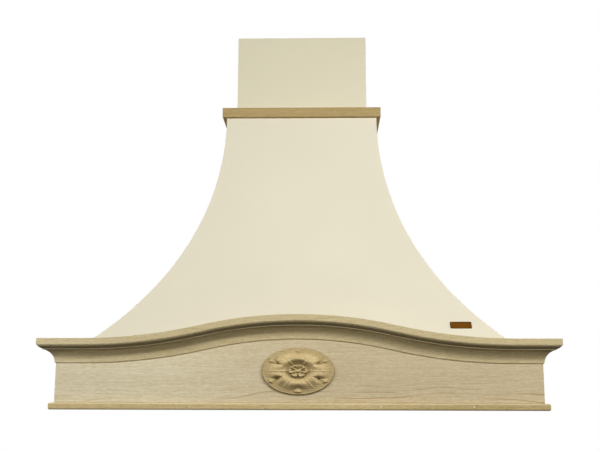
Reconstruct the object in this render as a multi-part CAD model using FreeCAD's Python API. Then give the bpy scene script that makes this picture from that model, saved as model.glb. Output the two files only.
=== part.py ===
import FreeCAD
import Part
import math
import os

# Wall-mounted kitchen hood: a flared steel dome in a moulded wooden frame, with a sliding chimney.
# Millimetres. X runs to the right along the wall, Y goes into the wall, Z is up.
# The origin lies on the wall plane, at the middle of the hood's lower edge.

# Overall size
hood_width = 900.0          # crown moulding, end to end
hood_depth = 500.0          # wall to the crown's front
chimney_top = 764.8         # top edge of the chimney when it is lowered

# Wooden frame
frame_height = 120.8        # crown's top at its flat ends
fascia_thickness = 20.5
strip_height = 11.8         # base strip under the fascia
strip_overhang = 8.2        # base strip's nose, ahead of the fascia
strip_rounding = 3.0
crown_lip = 2.0             # chamfered lower edge of the crown
cove_height = 21.4
cove_depth = 16.2
fillet_step = 1.4           # fillet ahead of the cove
crown_fillet = 1.3          # small upright between cove and ovolo
crown_soffit = 0.5          # ovolo's foot ahead of the fillet
ovolo_height = 7.0
ovolo_depth = 8.4
ovolo_bulge = 1.0           # its arc ahead of its chord
crown_face = 10.3           # upright face above the ovolo
arch_rise = 41.5            # how far the crown's middle stands above its ends
arch_half_span = 370.0      # middle of the arch to where the crown runs flat
arch_crest_radius = 760.0   # crown's top edge over the middle

# Carved oval ornament
rosette_width = 125.5
rosette_height = 80.0
rosette_plate = 4.5
rosette_relief = 4.5        # petals above the plate
rosette_petals = 6
petal_radius = 17.0
bump_root = 1.0             # carved forms sunk in the plate
petal_place = 0.58          # petal's centre, as a share of the oval's radius
floret_radius = 15.0        # button in the middle
floret_height = 3.0
floret_lobes = 6
floret_lobe_radius = 4.3
floret_rim = 1.0            # floret's edge outside its lobes

# Steel dome
sheet = 1.0                 # painted sheet
back_sheet = 1.2            # wall plate
neck_width = 304.4
neck_depth = 267.0
neck_top = 604.8
dome_top = 588.8            # where the flare starts below the neck
dome_rim = 99.8             # where the flare meets the skirt
skirt_foot = 36.0
skirt_lip = 14.0            # inward lip that carries the bottom panel
rear_lip = 14.0             # inward lip riveted to the wall plate

# Wooden collar round the neck
collar_thickness = 8.5
collar_height = 19.5
collar_rounding = 1.2
collar_gap = 0.05           # to the neck

# Chimney cover
chimney_width = 266.0
chimney_depth = 249.0
chimney_flange = 18.0       # rear returns along the wall
chimney_play = 1.5          # gap to its guide and to the wall plate
guide_lip = 12.0
bracket_sheet = 1.5
bracket_height = 28.0
bracket_reach = 45.0
bracket_drop = 8.0          # bracket's top below the chimney's top
bracket_screw_spacing = 140.0
bracket_hole_radius = 3.0

# Wall fixing
wall_hole_radius = 4.0
wall_hole_spacing_x = 380.0
wall_hole_spacing_z = 170.0
wall_hole_foot = 130.0      # lower pair above the origin

# Blank plate on the dome's front
badge_width = 38.5
badge_height = 15.6
badge_thickness = 0.8
badge_gap = 0.3             # adhesive under the plate
badge_x = 291.0
badge_z = 150.3

# Deck that carries the blower and the outlet
deck_foot = 350.0
deck_sheet = 1.2
deck_gap = 0.3              # to the dome's inner face
deck_flange = 20.0
deck_flange_width = 250.0
seat_gap = 0.3              # between moving pieces and what they rest on

# Outlet and its flaps
duct_offset = 125.0         # wall to the duct's axis
outlet_radius = 74.5        # outside of the spigot
outlet_wall = 1.5
outlet_height = 45.0
outlet_flange = 10.0
flap_ledge = 4.0
flap_ledge_height = 18.0
flap_sheet = 1.2
flap_axis_offset = 4.5      # each flap's pin from the middle
flap_barrel_radius = 2.5
flap_pin_radius = 1.5
flap_gap = 1.0
running_gap = 0.05          # radial, pin in hole

# Blower
impeller_radius = 75.0
impeller_ring = 13.0        # blade depth
impeller_length = 94.0
impeller_blades = 32
blade_sheet = 1.2
blade_lean = 35.0           # degrees
impeller_end = 2.0          # end rings and middle disc
hub_radius = 12.0
hub_front = 14.0
hub_rear = 8.0
shaft_radius = 4.0
nut_height = 6.0
nut_radius = 7.0
scroll_tongue_gap = 8.0
scroll_step = 12.0          # growth of the volute each quarter turn
scroll_wall = 2.0
scroll_depth = 110.0
throat_length = 45.0
inlet_radius = 58.0
scroll_flange = 10.0
boss_radius = 5.0
boss_sink = 1.0             # boss into the scroll's wall
boss_length = 10.0
screw_radius = 1.5
screw_head_radius = 3.0
screw_head = 2.0
screw_play = 0.1

# Motor
motor_radius = 42.0
motor_length = 54.0
motor_gap = 11.0            # impeller's middle to the motor
motor_bore = 6.0
bearing_radius = 9.0
bearing_length = 8.0
motor_plate = 3.0
motor_plate_radius = 30.0
motor_plate_hole = 10.0
motor_arms = 3
motor_arm_width = 14.0
motor_foot_radius = 6.0
motor_foot_circle = 67.0

# Electrical pieces under the deck
capacitor_radius = 15.0
capacitor_length = 48.0
capacitor_x = -120.0
capacitor_offset = 60.0     # wall to the capacitor's axis
terminal_width = 64.0
terminal_depth = 46.0
terminal_height = 44.0
terminal_wall = 2.0
terminal_x = 108.0
terminal_offset = 38.0
gland_radius = 8.0
gland_collar_radius = 12.0
gland_bore = 4.2
gland_height = 24.0
gland_collar_height = 8.0

# Bottom panel
panel_sheet = 1.0
panel_gap = 0.5             # to the wooden frame
opening_flange = 12.0
screw_inset = 7.0           # panel screws from the skirt's outer face

# Grease filters
filter_width = 340.0
filter_thickness = 10.0
filter_rail = 12.0
filter_spacing = 24.0       # between the two filters
filter_rear = 45.0          # wall to the filter's rear edge
control_zone = 106.0        # skirt's front to the filters, for lamps and switches
filter_gap = 1.0            # sides and front
filter_rear_gap = 3.0
filter_groove = 5.0
mesh_thickness = 4.0
mesh_columns = 14
mesh_rows = 13
mesh_strand = 3.0
filter_pin_radius = 2.0
filter_pin_inset = 6.0      # pin from the filter's rear edge
latch_width = 30.0
latch_sheet = 2.0
latch_play = 0.2
latch_reach = 4.0           # tongue beyond the filter's front edge
latch_travel = 5.0
latch_tab = 8.0             # finger tab below the filter
latch_tab_gap = 2.0         # tab to the rail
latch_notch_side = 7.0      # free mesh beside the tab

# Lamps
lamp_x = 250.0
lamp_inset = 51.0           # skirt's front to the lamps and switches
lamp_hole_radius = 31.0
bezel_radius = 36.0
bezel_flange = 2.0
bezel_wall = 2.5
bezel_neck = 6.0
lens_thickness = 3.0
can_height = 42.0
can_wall = 1.0
socket_radius = 9.0
socket_height = 14.0
bulb_radius = 6.0
bulb_length = 18.0

# Switches
plate_width = 150.0
plate_depth = 34.0
plate_thickness = 2.0
slot_width = 6.0
stem_play = 0.4
speed_x = -32.0             # middle of the speed slot
speed_travel = 30.0
light_x = 42.0
light_travel = 12.0
knob_length = 12.0
knob_width = 10.0
knob_height = 6.0
switch_width = 126.0
switch_depth = 22.0
switch_height = 24.0
switch_wall = 2.0
stem_height = 10.0          # stem above the plate

# Fasteners
wood_screw_radius = 2.0
wood_screw_length = 13.0    # in the wood
wood_screw_head_radius = 4.0
wood_screw_head = 2.4
wood_screw_z = 70.0
wood_screw_edge = 75.0      # end screws from the fascia's corners
rivet_radius = 2.0
rivet_head_radius = 4.0
rivet_head = 1.5
rivets_per_side = 5
rivet_edge = 16.0           # from the flare's ends

# Sizes that follow from the ones above
crown_overhang = crown_lip + cove_depth + fillet_step + crown_soffit + ovolo_depth
crown_height = crown_lip + cove_height + crown_fillet + ovolo_height + crown_face
crown_foot = frame_height - crown_height
fascia_half = hood_width / 2 - crown_overhang
fascia_face = hood_depth - crown_overhang
rim_half = fascia_half - fascia_thickness
rim_depth = fascia_face - fascia_thickness
neck_half = neck_width / 2
chimney_half = chimney_width / 2
deck_top = deck_foot + deck_sheet
chimney_foot = deck_top + seat_gap
panel_foot = skirt_foot - panel_sheet
guide_foot = neck_top - sheet
collar_foot = neck_top - collar_height
far = 2.0 * (hood_width + hood_depth + chimney_top)

arch_angle = 2.0 * math.atan(arch_rise / arch_half_span)
arch_radii = arch_half_span / math.sin(arch_angle)
arch_hollow_radius = arch_radii - arch_crest_radius

scroll_front_y = -duct_offset - scroll_depth / 2
scroll_rear_y = -duct_offset + scroll_depth / 2
volute_radius = impeller_radius + scroll_tongue_gap
throat_width = volute_radius + 3 * scroll_step
volute_x = throat_width / 2
volute_z = deck_foot - throat_length - volute_radius
impeller_x = volute_x - scroll_step / 2
motor_front_y = -duct_offset + motor_gap
motor_rear_y = motor_front_y + motor_length

lamp_offset = rim_depth - lamp_inset
filter_depth = rim_depth - control_zone - filter_rear
filter_x = (filter_width + filter_spacing) / 2
filter_rear_y = -filter_rear
filter_front_y = -filter_rear - filter_depth
filter_pin_y = filter_rear_y - filter_pin_inset
filter_pin_z = panel_foot + filter_thickness / 2
opening_half = filter_width / 2 + filter_gap
opening_rear_y = filter_rear_y + filter_rear_gap
opening_front_y = filter_front_y - filter_gap

NORMALS = {
    "XZ": FreeCAD.Vector(0, 1, 0),
    "YZ": FreeCAD.Vector(1, 0, 0),
    "XY": FreeCAD.Vector(0, 0, 1),
}


def point(plane, offset, u, v):
    """Point (u, v) of a drawing plane that stands at offset along its normal."""
    if plane == "XZ":
        return FreeCAD.Vector(u, offset, v)
    if plane == "YZ":
        return FreeCAD.Vector(offset, u, v)
    return FreeCAD.Vector(u, v, offset)


def outline(plane, offset, start, moves):
    """Closed wire from start through moves: (end,) is a line and (middle, end) an arc."""
    first = point(plane, offset, *start)
    here = first
    edges = []
    for move in moves:
        points = [point(plane, offset, *p) for p in move]
        if len(points) == 1:
            edges.append(Part.LineSegment(here, points[0]).toShape())
        else:
            edges.append(Part.Arc(here, points[0], points[1]).toShape())
        here = points[-1]
    if here.distanceToPoint(first) > 1e-6:
        edges.append(Part.LineSegment(here, first).toShape())
    return Part.Wire(edges)


def prism(plane, low, high, start, moves):
    """Outline drawn at low and extruded to high along the plane's normal."""
    face = Part.Face(outline(plane, low, start, moves))
    return face.extrude(NORMALS[plane] * (high - low))


def box(x0, x1, y0, y1, z0, z1):
    """Block between two corners."""
    return Part.makeBox(x1 - x0, y1 - y0, z1 - z0, FreeCAD.Vector(x0, y0, z0))


def rod(plane, radius, u, v, low, high):
    """Round bar through (u, v) of a plane, from low to high along its normal."""
    return Part.makeCylinder(radius, high - low, point(plane, low, u, v), NORMALS[plane])


def tube(plane, outer, inner, u, v, low, high):
    """Round bar with a bore."""
    return rod(plane, outer, u, v, low, high).cut(rod(plane, inner, u, v, low, high))


def mirrored(shape):
    """The same piece on the other side of the middle plane."""
    return shape.mirror(FreeCAD.Vector(0, 0, 0), FreeCAD.Vector(1, 0, 0))


def joined(shapes):
    """One solid from pieces that meet."""
    whole = shapes[0].multiFuse(shapes[1:]) if len(shapes) > 1 else shapes[0]
    return whole.removeSplitter()


def on_arc(centre, radius, degrees):
    """Point of a circle, measured from the first axis towards the second."""
    angle = math.radians(degrees)
    return (centre[0] + radius * math.cos(angle), centre[1] + radius * math.sin(angle))


# Mitred wooden mouldings: a profile of (out, up) points that runs along the front and both sides

def front_plan(inner_half, inner_front, width):
    """Upright block of the front run, with its ends cut at 45 degrees."""
    outer_half = inner_half + width
    outer_front = inner_front + width
    corners = [(-outer_half, -outer_front), (outer_half, -outer_front), (inner_half, -inner_front)]
    return prism("XY", -far, far, (-inner_half, -inner_front), [(c,) for c in corners])


def side_plan(inner_half, inner_front, width):
    """Upright block of the right run, mitred at the front and square at the wall."""
    outer_half = inner_half + width
    outer_front = inner_front + width
    corners = [(outer_half, -outer_front), (outer_half, 0.0), (inner_half, 0.0)]
    return prism("XY", -far, far, (inner_half, -inner_front), [(c,) for c in corners])


def front_run(inner_half, inner_front, width, foot, start, moves):
    """Moulding along the front, mitred at both ends."""
    def place(p):
        return (-inner_front - p[0], foot + p[1])
    placed = [tuple(place(p) for p in move) for move in moves]
    length = inner_half + width
    return prism("YZ", -length, length, place(start), placed).common(front_plan(inner_half, inner_front, width))


def side_run(inner_half, inner_front, width, foot, start, moves):
    """Moulding along the right side, from the mitre to the wall."""
    def place(p):
        return (inner_half + p[0], foot + p[1])
    placed = [tuple(place(p) for p in move) for move in moves]
    length = inner_front + width
    return prism("XZ", -length, 0.0, place(start), placed).common(side_plan(inner_half, inner_front, width))


def nosed_profile(width, height, rounding):
    """Flat strip with both outer edges rounded."""
    low = on_arc((width - rounding, rounding), rounding, -45)
    high = on_arc((width - rounding, height - rounding), rounding, 45)
    moves = [
        ((width - rounding, 0.0),),
        (low, (width, rounding)),
        ((width, height - rounding),),
        (high, (width - rounding, height)),
        ((0.0, height),),
    ]
    return (0.0, 0.0), moves


def crown_profile():
    """Chamfer, cove, fillet and ovolo, from the fascia's face outwards."""
    cove_radius = (cove_height ** 2 + cove_depth ** 2) / (2 * cove_depth)
    cove_angle = math.degrees(math.asin(min(1.0, cove_height / cove_radius)))
    cove_centre = (crown_lip + cove_radius, crown_lip)
    cove_top = crown_lip + cove_height
    cove_end = (crown_lip + cove_depth, cove_top)
    fillet = crown_lip + cove_depth + fillet_step
    soffit = cove_top + crown_fillet
    chord = math.hypot(ovolo_depth, ovolo_height)
    ovolo_middle = (crown_overhang - ovolo_depth / 2 + ovolo_bulge * ovolo_height / chord,
                    soffit + ovolo_height / 2 - ovolo_bulge * ovolo_depth / chord)
    moves = [
        ((crown_lip, crown_lip),),
        (on_arc(cove_centre, cove_radius, 180 - cove_angle / 2), cove_end),
        ((fillet, cove_top),),
        ((fillet, soffit),),
        ((crown_overhang - ovolo_depth, soffit),),
        (ovolo_middle, (crown_overhang, soffit + ovolo_height)),
        ((crown_overhang, crown_height),),
        ((0.0, crown_height),),
    ]
    return (0.0, 0.0), moves


def fascia_front():
    """Front board, whose top follows the crown's arch."""
    crest = frame_height + arch_rise
    crest_centre = (0.0, crest - arch_crest_radius)
    hollow_centre = (arch_half_span, frame_height + arch_hollow_radius)
    turn = math.degrees(arch_angle)
    bend = on_arc(crest_centre, arch_crest_radius, 90 - turn)
    hollow_middle = on_arc(hollow_centre, arch_hollow_radius, 270 - turn / 2)
    flat = (arch_half_span, frame_height)

    def left(p):
        return (-p[0], p[1])
    moves = [
        ((fascia_half, strip_height),),
        ((fascia_half, frame_height),),
        (flat,),
        (hollow_middle, bend),
        ((0.0, crest), left(bend)),
        (left(hollow_middle), left(flat)),
        ((-fascia_half, frame_height),),
    ]
    board = prism("XZ", -fascia_face, -rim_depth, (-fascia_half, strip_height), moves)
    return board.common(front_plan(rim_half, rim_depth, fascia_thickness))


def fascia_side():
    """Right board, straight along its top."""
    height = frame_height - strip_height
    moves = [((fascia_thickness, 0.0),), ((fascia_thickness, height),), ((0.0, height),)]
    return side_run(rim_half, rim_depth, fascia_thickness, strip_height, (0.0, 0.0), moves)


def crown_front():
    """Arched crown: the profile swept along flat, hollow and crest stretches."""
    start, moves = crown_profile()

    def section(x, foot):
        def place(p):
            return (-fascia_face - p[0], foot + p[1])
        placed = [tuple(place(p) for p in move) for move in moves]
        return Part.Face(outline("YZ", x, place(start), placed))
    turn = math.degrees(arch_angle)
    along = FreeCAD.Vector(0, 1, 0)
    crest_centre = FreeCAD.Vector(0, 0, frame_height + arch_rise - arch_crest_radius)
    hollow_centre = FreeCAD.Vector(arch_half_span, 0, frame_height + arch_hollow_radius)
    crest = section(0.0, crown_foot + arch_rise).revolve(crest_centre, along, turn)
    hollow = section(arch_half_span, crown_foot).revolve(hollow_centre, along, turn)
    flat_length = fascia_half + crown_overhang - arch_half_span
    flat = section(arch_half_span, crown_foot).extrude(FreeCAD.Vector(flat_length, 0, 0))
    half = [crest, hollow, flat]
    swept = joined(half + [mirrored(piece) for piece in half])
    return swept.common(front_plan(fascia_half, fascia_face, crown_overhang))


def crown_side():
    """Straight crown along the right side."""
    start, moves = crown_profile()
    return side_run(fascia_half, fascia_face, crown_overhang, crown_foot, start, moves)


def base_strip(run):
    """Base strip under the fascia, by either kind of run."""
    width = fascia_thickness + strip_overhang
    start, moves = nosed_profile(width, strip_height, strip_rounding)
    return run(rim_half, rim_depth, width, 0.0, start, moves)


def collar(run):
    """Strip round the dome's neck, by either kind of run."""
    start, moves = nosed_profile(collar_thickness, collar_height, collar_rounding)
    return run(neck_half + collar_gap, neck_depth + collar_gap, collar_thickness, collar_foot, start, moves)


def rosette_centre_z():
    """Middle of the fascia that shows between base strip and crown."""
    return (strip_height + crown_foot + arch_rise) / 2


def oval(back, front):
    """Upright oval block on the fascia, between two distances from its face."""
    ellipse = Part.Ellipse(FreeCAD.Vector(0, 0, 0), rosette_width / 2, rosette_height / 2)
    disc = Part.Face(Part.Wire(ellipse.toShape()))
    disc.rotate(FreeCAD.Vector(0, 0, 0), FreeCAD.Vector(1, 0, 0), 90)
    disc.translate(FreeCAD.Vector(0, -fascia_face - back, rosette_centre_z()))
    return disc.extrude(FreeCAD.Vector(0, back - front, 0))


def dome_bump(x, z, radius, height, base):
    """Ball whose cap of that radius stands height proud of a base level."""
    ball = (radius ** 2 + height ** 2) / (2 * height)
    face = -fascia_face - base
    sphere = Part.makeSphere(ball, FreeCAD.Vector(x, face - height + ball, z))
    return sphere.common(box(-far, far, face - far, face + bump_root, -far, far))


def rosette():
    """Oval plate with a ring of petals and a small floret in the middle."""
    middle = rosette_centre_z()
    shapes = [oval(0.0, rosette_plate)]
    for i in range(rosette_petals):
        angle = 2 * math.pi * i / rosette_petals
        x = petal_place * rosette_width / 2 * math.cos(angle)
        z = middle + petal_place * rosette_height / 2 * math.sin(angle)
        shapes.append(dome_bump(x, z, petal_radius, rosette_relief, rosette_plate))
    front = -fascia_face - rosette_plate
    shapes.append(rod("XZ", floret_radius, 0.0, middle, front - floret_height, front))
    lobe_circle = floret_radius - floret_lobe_radius - floret_rim
    for i in range(floret_lobes):
        x, z = on_arc((0.0, middle), lobe_circle, 360 * i / floret_lobes)
        shapes.append(Part.makeSphere(floret_lobe_radius, FreeCAD.Vector(x, front - floret_height, z)))
    shapes.append(Part.makeSphere(floret_lobe_radius, FreeCAD.Vector(0, front - floret_height, middle)))
    return joined(shapes)


# Flared dome: each wall is upright at the neck, curves outwards, and ends in an upright skirt

def flare(top, rim, inset, foot, head):
    """Points up one wall, at an inset from its outer face: foot, rim, middle of the arc, top, head."""
    drop = dome_top - dome_rim
    angle = 2 * math.atan((rim - top) / drop)
    outer_radius = drop / math.sin(angle)
    centre = (top + outer_radius, dome_top)
    radius = outer_radius + inset
    reach = math.acos((centre[0] - rim + inset) / radius)

    def on_wall(a):
        return (centre[0] - radius * math.cos(a), centre[1] - radius * math.sin(a))
    return (rim - inset, foot), on_wall(reach), on_wall(reach / 2), (top - inset, dome_top), (top - inset, head)


def between_sides(inset, foot, head, front, rear):
    """Space between the side walls, from a front plane to a rear plane."""
    a, b, m, c, d = flare(neck_half, rim_half, inset, foot, head)

    def left(p):
        return (-p[0], p[1])
    moves = [(b,), (m, c), (d,), (left(d),), (left(c),), (left(m), left(b)), (left(a),)]
    return prism("XZ", front, rear, a, moves)


def behind_front(inset, foot, head):
    """Space between the front wall and the wall plane, across the whole width."""
    a, b, m, c, d = flare(neck_depth, rim_depth, inset, foot, head)

    def ahead(p):
        return (-p[0], p[1])
    moves = [(ahead(a),), (ahead(b),), (ahead(m), ahead(c)), (ahead(d),), ((0.0, head),)]
    return prism("YZ", -rim_half, rim_half, (0.0, foot), moves)


def side_wall_point(z, inset):
    """Point inside the right wall, square to its outer face at a height on the flare."""
    drop = dome_top - dome_rim
    radius = drop / math.sin(2 * math.atan((rim_half - neck_half) / drop))
    angle = math.degrees(math.asin((dome_top - z) / radius))
    return on_arc((neck_half + radius, dome_top), radius + inset, 180 + angle)


def panel_screw_places():
    """Middles of the screws that hold the bottom panel to the skirt's lips."""
    edge_x = rim_half - screw_inset
    edge_y = -rim_depth + screw_inset
    front = [(x, edge_y) for x in (-lamp_x - bezel_radius * 2, 0.0, lamp_x + bezel_radius * 2)]
    rows = (-lamp_offset, -rim_depth / 2, -filter_rear)
    return front + [(x, y) for x in (-edge_x, edge_x) for y in rows]


def wood_screw_places():
    """Screws through the skirt: (point on the skirt's inner face, direction into the wood)."""
    outer = fascia_half - wood_screw_edge
    inner_y = -rim_depth + sheet
    inner_x = rim_half - sheet
    front = [(FreeCAD.Vector(x, inner_y, wood_screw_z), FreeCAD.Vector(0, -1, 0))
             for x in (-outer, -outer / 3, outer / 3, outer)]
    sides = [(FreeCAD.Vector(side * inner_x, y, wood_screw_z), FreeCAD.Vector(side, 0, 0))
             for side in (-1, 1) for y in (-fascia_face + wood_screw_edge, -rim_depth / 2, -wood_screw_edge)]
    return front + sides


def rivet_places():
    """Rivets through the dome's rear lips, on the right side."""
    foot = dome_rim + rivet_edge
    step = (dome_top - rivet_edge - foot) / (rivets_per_side - 1)
    inset = sheet + (rear_lip - sheet) / 2
    return [side_wall_point(foot + step * i, inset) for i in range(rivets_per_side)]


def drilled(shape, places, radius, depth):
    """Shape with a round hole at each (point, direction)."""
    for place, direction in places:
        shape = shape.cut(Part.makeCylinder(radius, depth, place - direction * depth / 2, direction))
    return shape


def dome_front():
    """Front sheet with its skirt and lower lip."""
    wall = behind_front(0.0, skirt_foot, neck_top).cut(behind_front(sheet, skirt_foot, neck_top))
    wall = wall.common(between_sides(0.0, skirt_foot, neck_top, -hood_depth, 0.0))
    inner = rim_half - sheet
    lip = box(-inner, inner, -rim_depth, -rim_depth + skirt_lip, skirt_foot, skirt_foot + sheet)
    shell = joined([wall, lip])
    shell = drilled(shell, wood_screw_places(), wood_screw_radius + running_gap, 4 * sheet)
    for x, y in panel_screw_places():
        shell = shell.cut(rod("XY", screw_radius + screw_play, x, y, panel_foot, skirt_foot + 2 * sheet))
    return shell


def dome_side():
    """Right sheet with its skirt, its lower lip and the lip along the wall plate."""
    rear = -back_sheet
    wall = between_sides(0.0, skirt_foot, neck_top, -hood_depth, rear)
    wall = wall.cut(between_sides(sheet, skirt_foot, neck_top, -hood_depth, rear))
    wall = wall.common(behind_front(sheet, skirt_foot, neck_top))
    along_wall = between_sides(0.0, skirt_foot, neck_top, rear - sheet, rear)
    along_wall = along_wall.cut(between_sides(rear_lip, skirt_foot, neck_top, rear - sheet, rear))
    right = box(0.0, far, -far, far, -far, far)
    lip = box(rim_half - skirt_lip, rim_half, -rim_depth + skirt_lip, rear, skirt_foot, skirt_foot + sheet)
    shell = joined([wall.common(right), along_wall.common(right), lip])
    shell = drilled(shell, wood_screw_places(), wood_screw_radius + running_gap, 4 * sheet)
    for x, y in panel_screw_places():
        shell = shell.cut(rod("XY", screw_radius + screw_play, x, y, panel_foot, skirt_foot + 2 * sheet))
    for x, z in rivet_places():
        shell = shell.cut(rod("XZ", rivet_radius + running_gap, x, z, rear - 2 * sheet, 0.0))
    return shell


def wall_hole_places():
    """Middles of the four wall screws."""
    half = wall_hole_spacing_x / 2
    return [(x, z) for x in (-half, half) for z in (wall_hole_foot, wall_hole_foot + wall_hole_spacing_z)]


def back_plate():
    """Wall plate with the dome's outline, open behind the chimney."""
    plate = between_sides(0.0, 0.0, neck_top, -back_sheet, 0.0)
    notch = chimney_half + chimney_play
    plate = plate.cut(box(-notch, notch, -back_sheet, 0.0, deck_top, far))
    for x, z in wall_hole_places():
        plate = plate.cut(rod("XZ", wall_hole_radius, x, z, -back_sheet, 0.0))
    for x, z in rivet_places():
        for side in (-1, 1):
            plate = plate.cut(rod("XZ", rivet_radius + running_gap, side * x, z, -back_sheet, 0.0))
    return plate


def chimney_guide():
    """Rim inside the neck that the chimney slides through."""
    outer = box(-neck_half + sheet, neck_half - sheet, -neck_depth + sheet, -back_sheet - sheet, guide_foot, neck_top)
    inner_half = chimney_half + chimney_play
    inner_y = -chimney_depth - chimney_play
    lip_foot = neck_top - guide_lip
    lip = box(-inner_half - sheet, inner_half + sheet, inner_y - sheet, -back_sheet - sheet, lip_foot, guide_foot)
    opening = box(-inner_half, inner_half, inner_y, far, lip_foot, far)
    return joined([outer, lip]).cut(opening)


def chimney_cover():
    """Upper cover: front, sides and two rear returns."""
    shell = box(-chimney_half, chimney_half, -chimney_depth, 0.0, chimney_foot, chimney_top)
    inner = chimney_half - sheet
    shell = shell.cut(box(-inner, inner, -chimney_depth + sheet, -sheet, chimney_foot, chimney_top))
    gap = chimney_half - chimney_flange
    shell = shell.cut(box(-gap, gap, -sheet, 0.0, chimney_foot, chimney_top))
    for place, direction in bracket_screw_places():
        shell = shell.cut(Part.makeCylinder(screw_radius + screw_play, far, place, direction))
    return shell


def bracket_screw_places():
    """Screws through the chimney's sides into its bracket: (point on the bracket, outward)."""
    z = chimney_top - bracket_drop - bracket_height / 2
    y = -sheet - bracket_reach * 2 / 3
    inner = chimney_half - sheet - bracket_sheet
    return [(FreeCAD.Vector(side * inner, y, z), FreeCAD.Vector(side, 0, 0)) for side in (-1, 1)]


def chimney_bracket():
    """Channel that is screwed to the wall and holds the chimney's top."""
    top = chimney_top - bracket_drop
    foot = top - bracket_height
    inner = chimney_half - sheet
    rear = -sheet
    shell = box(-inner, inner, rear - bracket_reach, rear, foot, top)
    hollow = inner - bracket_sheet
    shell = shell.cut(box(-hollow, hollow, rear - bracket_reach, rear - bracket_sheet, foot, top))
    for x in (-bracket_screw_spacing / 2, bracket_screw_spacing / 2):
        shell = shell.cut(rod("XZ", bracket_hole_radius, x, (foot + top) / 2, rear - bracket_sheet, rear))
    for place, direction in bracket_screw_places():
        shell = shell.cut(Part.makeCylinder(screw_radius + running_gap, far, place, direction))
    return shell


def chimney_screws():
    """Two screws, heads outside the chimney."""
    screws = []
    for place, direction in bracket_screw_places():
        shank = Part.makeCylinder(screw_radius, bracket_sheet + sheet, place, direction)
        seat = place + direction * (bracket_sheet + sheet)
        head = Part.makeCylinder(screw_head_radius, screw_head, seat, direction)
        screws.append(joined([shank, head]))
    return Part.makeCompound(screws)


def badge_plate():
    """Blank plate that follows the front wall's curve."""
    drop = dome_top - dome_rim
    radius = drop / math.sin(2 * math.atan((rim_depth - neck_depth) / drop))
    centre = (-neck_depth - radius, dome_top)
    middle = math.degrees(math.asin((dome_top - badge_z) / radius))
    half = math.degrees(badge_height / radius) / 2
    back = radius - badge_gap
    face = back - badge_thickness

    def at(r, share):
        return on_arc(centre, r, -(middle + half * share))
    moves = [(at(back, 0), at(back, 1)), (at(face, 1),), (at(face, 0), at(face, -1))]
    return prism("YZ", badge_x - badge_width / 2, badge_x + badge_width / 2, at(back, -1), moves)


# Deck, outlet and flaps

def gland_place():
    """Middle of the cable gland, over the terminal box."""
    return (terminal_x, -terminal_offset)


def scroll_fixing_places():
    """Screws that hang the scroll from the deck."""
    x = throat_width / 2 + scroll_wall + scroll_flange / 2
    return [(side * x, y) for side in (-1, 1)
            for y in (scroll_front_y - scroll_flange / 2, scroll_rear_y + scroll_flange / 2)]


def blower_deck():
    """Plate across the dome, with a flange down the wall plate."""
    rear = -back_sheet
    behind_lips = rear - sheet - deck_gap
    plate = box(-far, far, -far, behind_lips, deck_foot, deck_top)
    inset = sheet + deck_gap
    plate = plate.common(between_sides(inset, skirt_foot, neck_top, -hood_depth, 0.0))
    plate = plate.common(behind_front(inset, skirt_foot, neck_top))
    half = deck_flange_width / 2
    tongue = box(-half, half, behind_lips, rear, deck_foot, deck_top)
    flange = box(-half, half, rear - deck_sheet, rear, deck_foot - deck_flange, deck_foot)
    deck = joined([plate, tongue, flange])
    deck = deck.cut(rod("XY", outlet_radius - outlet_wall, 0.0, -duct_offset, deck_foot, deck_top))
    deck = deck.cut(rod("XY", gland_radius + screw_play, *gland_place(), deck_foot, deck_top))
    for x, y in scroll_fixing_places():
        deck = deck.cut(rod("XY", screw_radius + running_gap, x, y, deck_foot, deck_top))
    return deck


def flap_axis_z():
    """Height of the flaps' pins."""
    return deck_top + flap_ledge_height + seat_gap + flap_barrel_radius


def outlet_collar():
    """Round spigot for the duct, with a ledge that the closed flaps rest on."""
    inner = outlet_radius - outlet_wall
    top = deck_top + outlet_height
    wall = tube("XY", outlet_radius, inner, 0.0, -duct_offset, deck_top, top)
    foot = tube("XY", outlet_radius + outlet_flange, inner, 0.0, -duct_offset, deck_top, deck_top + outlet_wall)
    ledge_top = deck_top + flap_ledge_height
    ledge = tube("XY", inner, inner - flap_ledge, 0.0, -duct_offset, ledge_top - outlet_wall, ledge_top)
    spigot = joined([wall, foot, ledge])
    for side in (-1, 1):
        y = -duct_offset + side * flap_axis_offset
        spigot = spigot.cut(rod("YZ", flap_pin_radius + running_gap, y, flap_axis_z(), -far, far))
    return spigot


def flap(side):
    """Half-round flap with its pin: side -1 opens at the front and 1 at the rear."""
    reach = outlet_radius - outlet_wall - flap_gap
    foot = deck_top + flap_ledge_height + seat_gap
    axis_y = -duct_offset + side * flap_axis_offset
    disc = rod("XY", reach, 0.0, -duct_offset, foot, foot + flap_sheet)
    ends = sorted([axis_y, axis_y + side * far])
    leaf = disc.common(box(-far, far, ends[0], ends[1], foot, foot + flap_sheet))
    half_chord = math.sqrt(reach ** 2 - (flap_axis_offset + flap_barrel_radius) ** 2)
    barrel = rod("YZ", flap_barrel_radius, axis_y, flap_axis_z(), -half_chord, half_chord)
    pin_half = math.sqrt(outlet_radius ** 2 - (flap_axis_offset + flap_pin_radius) ** 2)
    pin = rod("YZ", flap_pin_radius, axis_y, flap_axis_z(), -pin_half, pin_half)
    return joined([leaf, barrel, pin])


# Blower: a volute in two halves round a drum impeller whose axis runs to the wall

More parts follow.
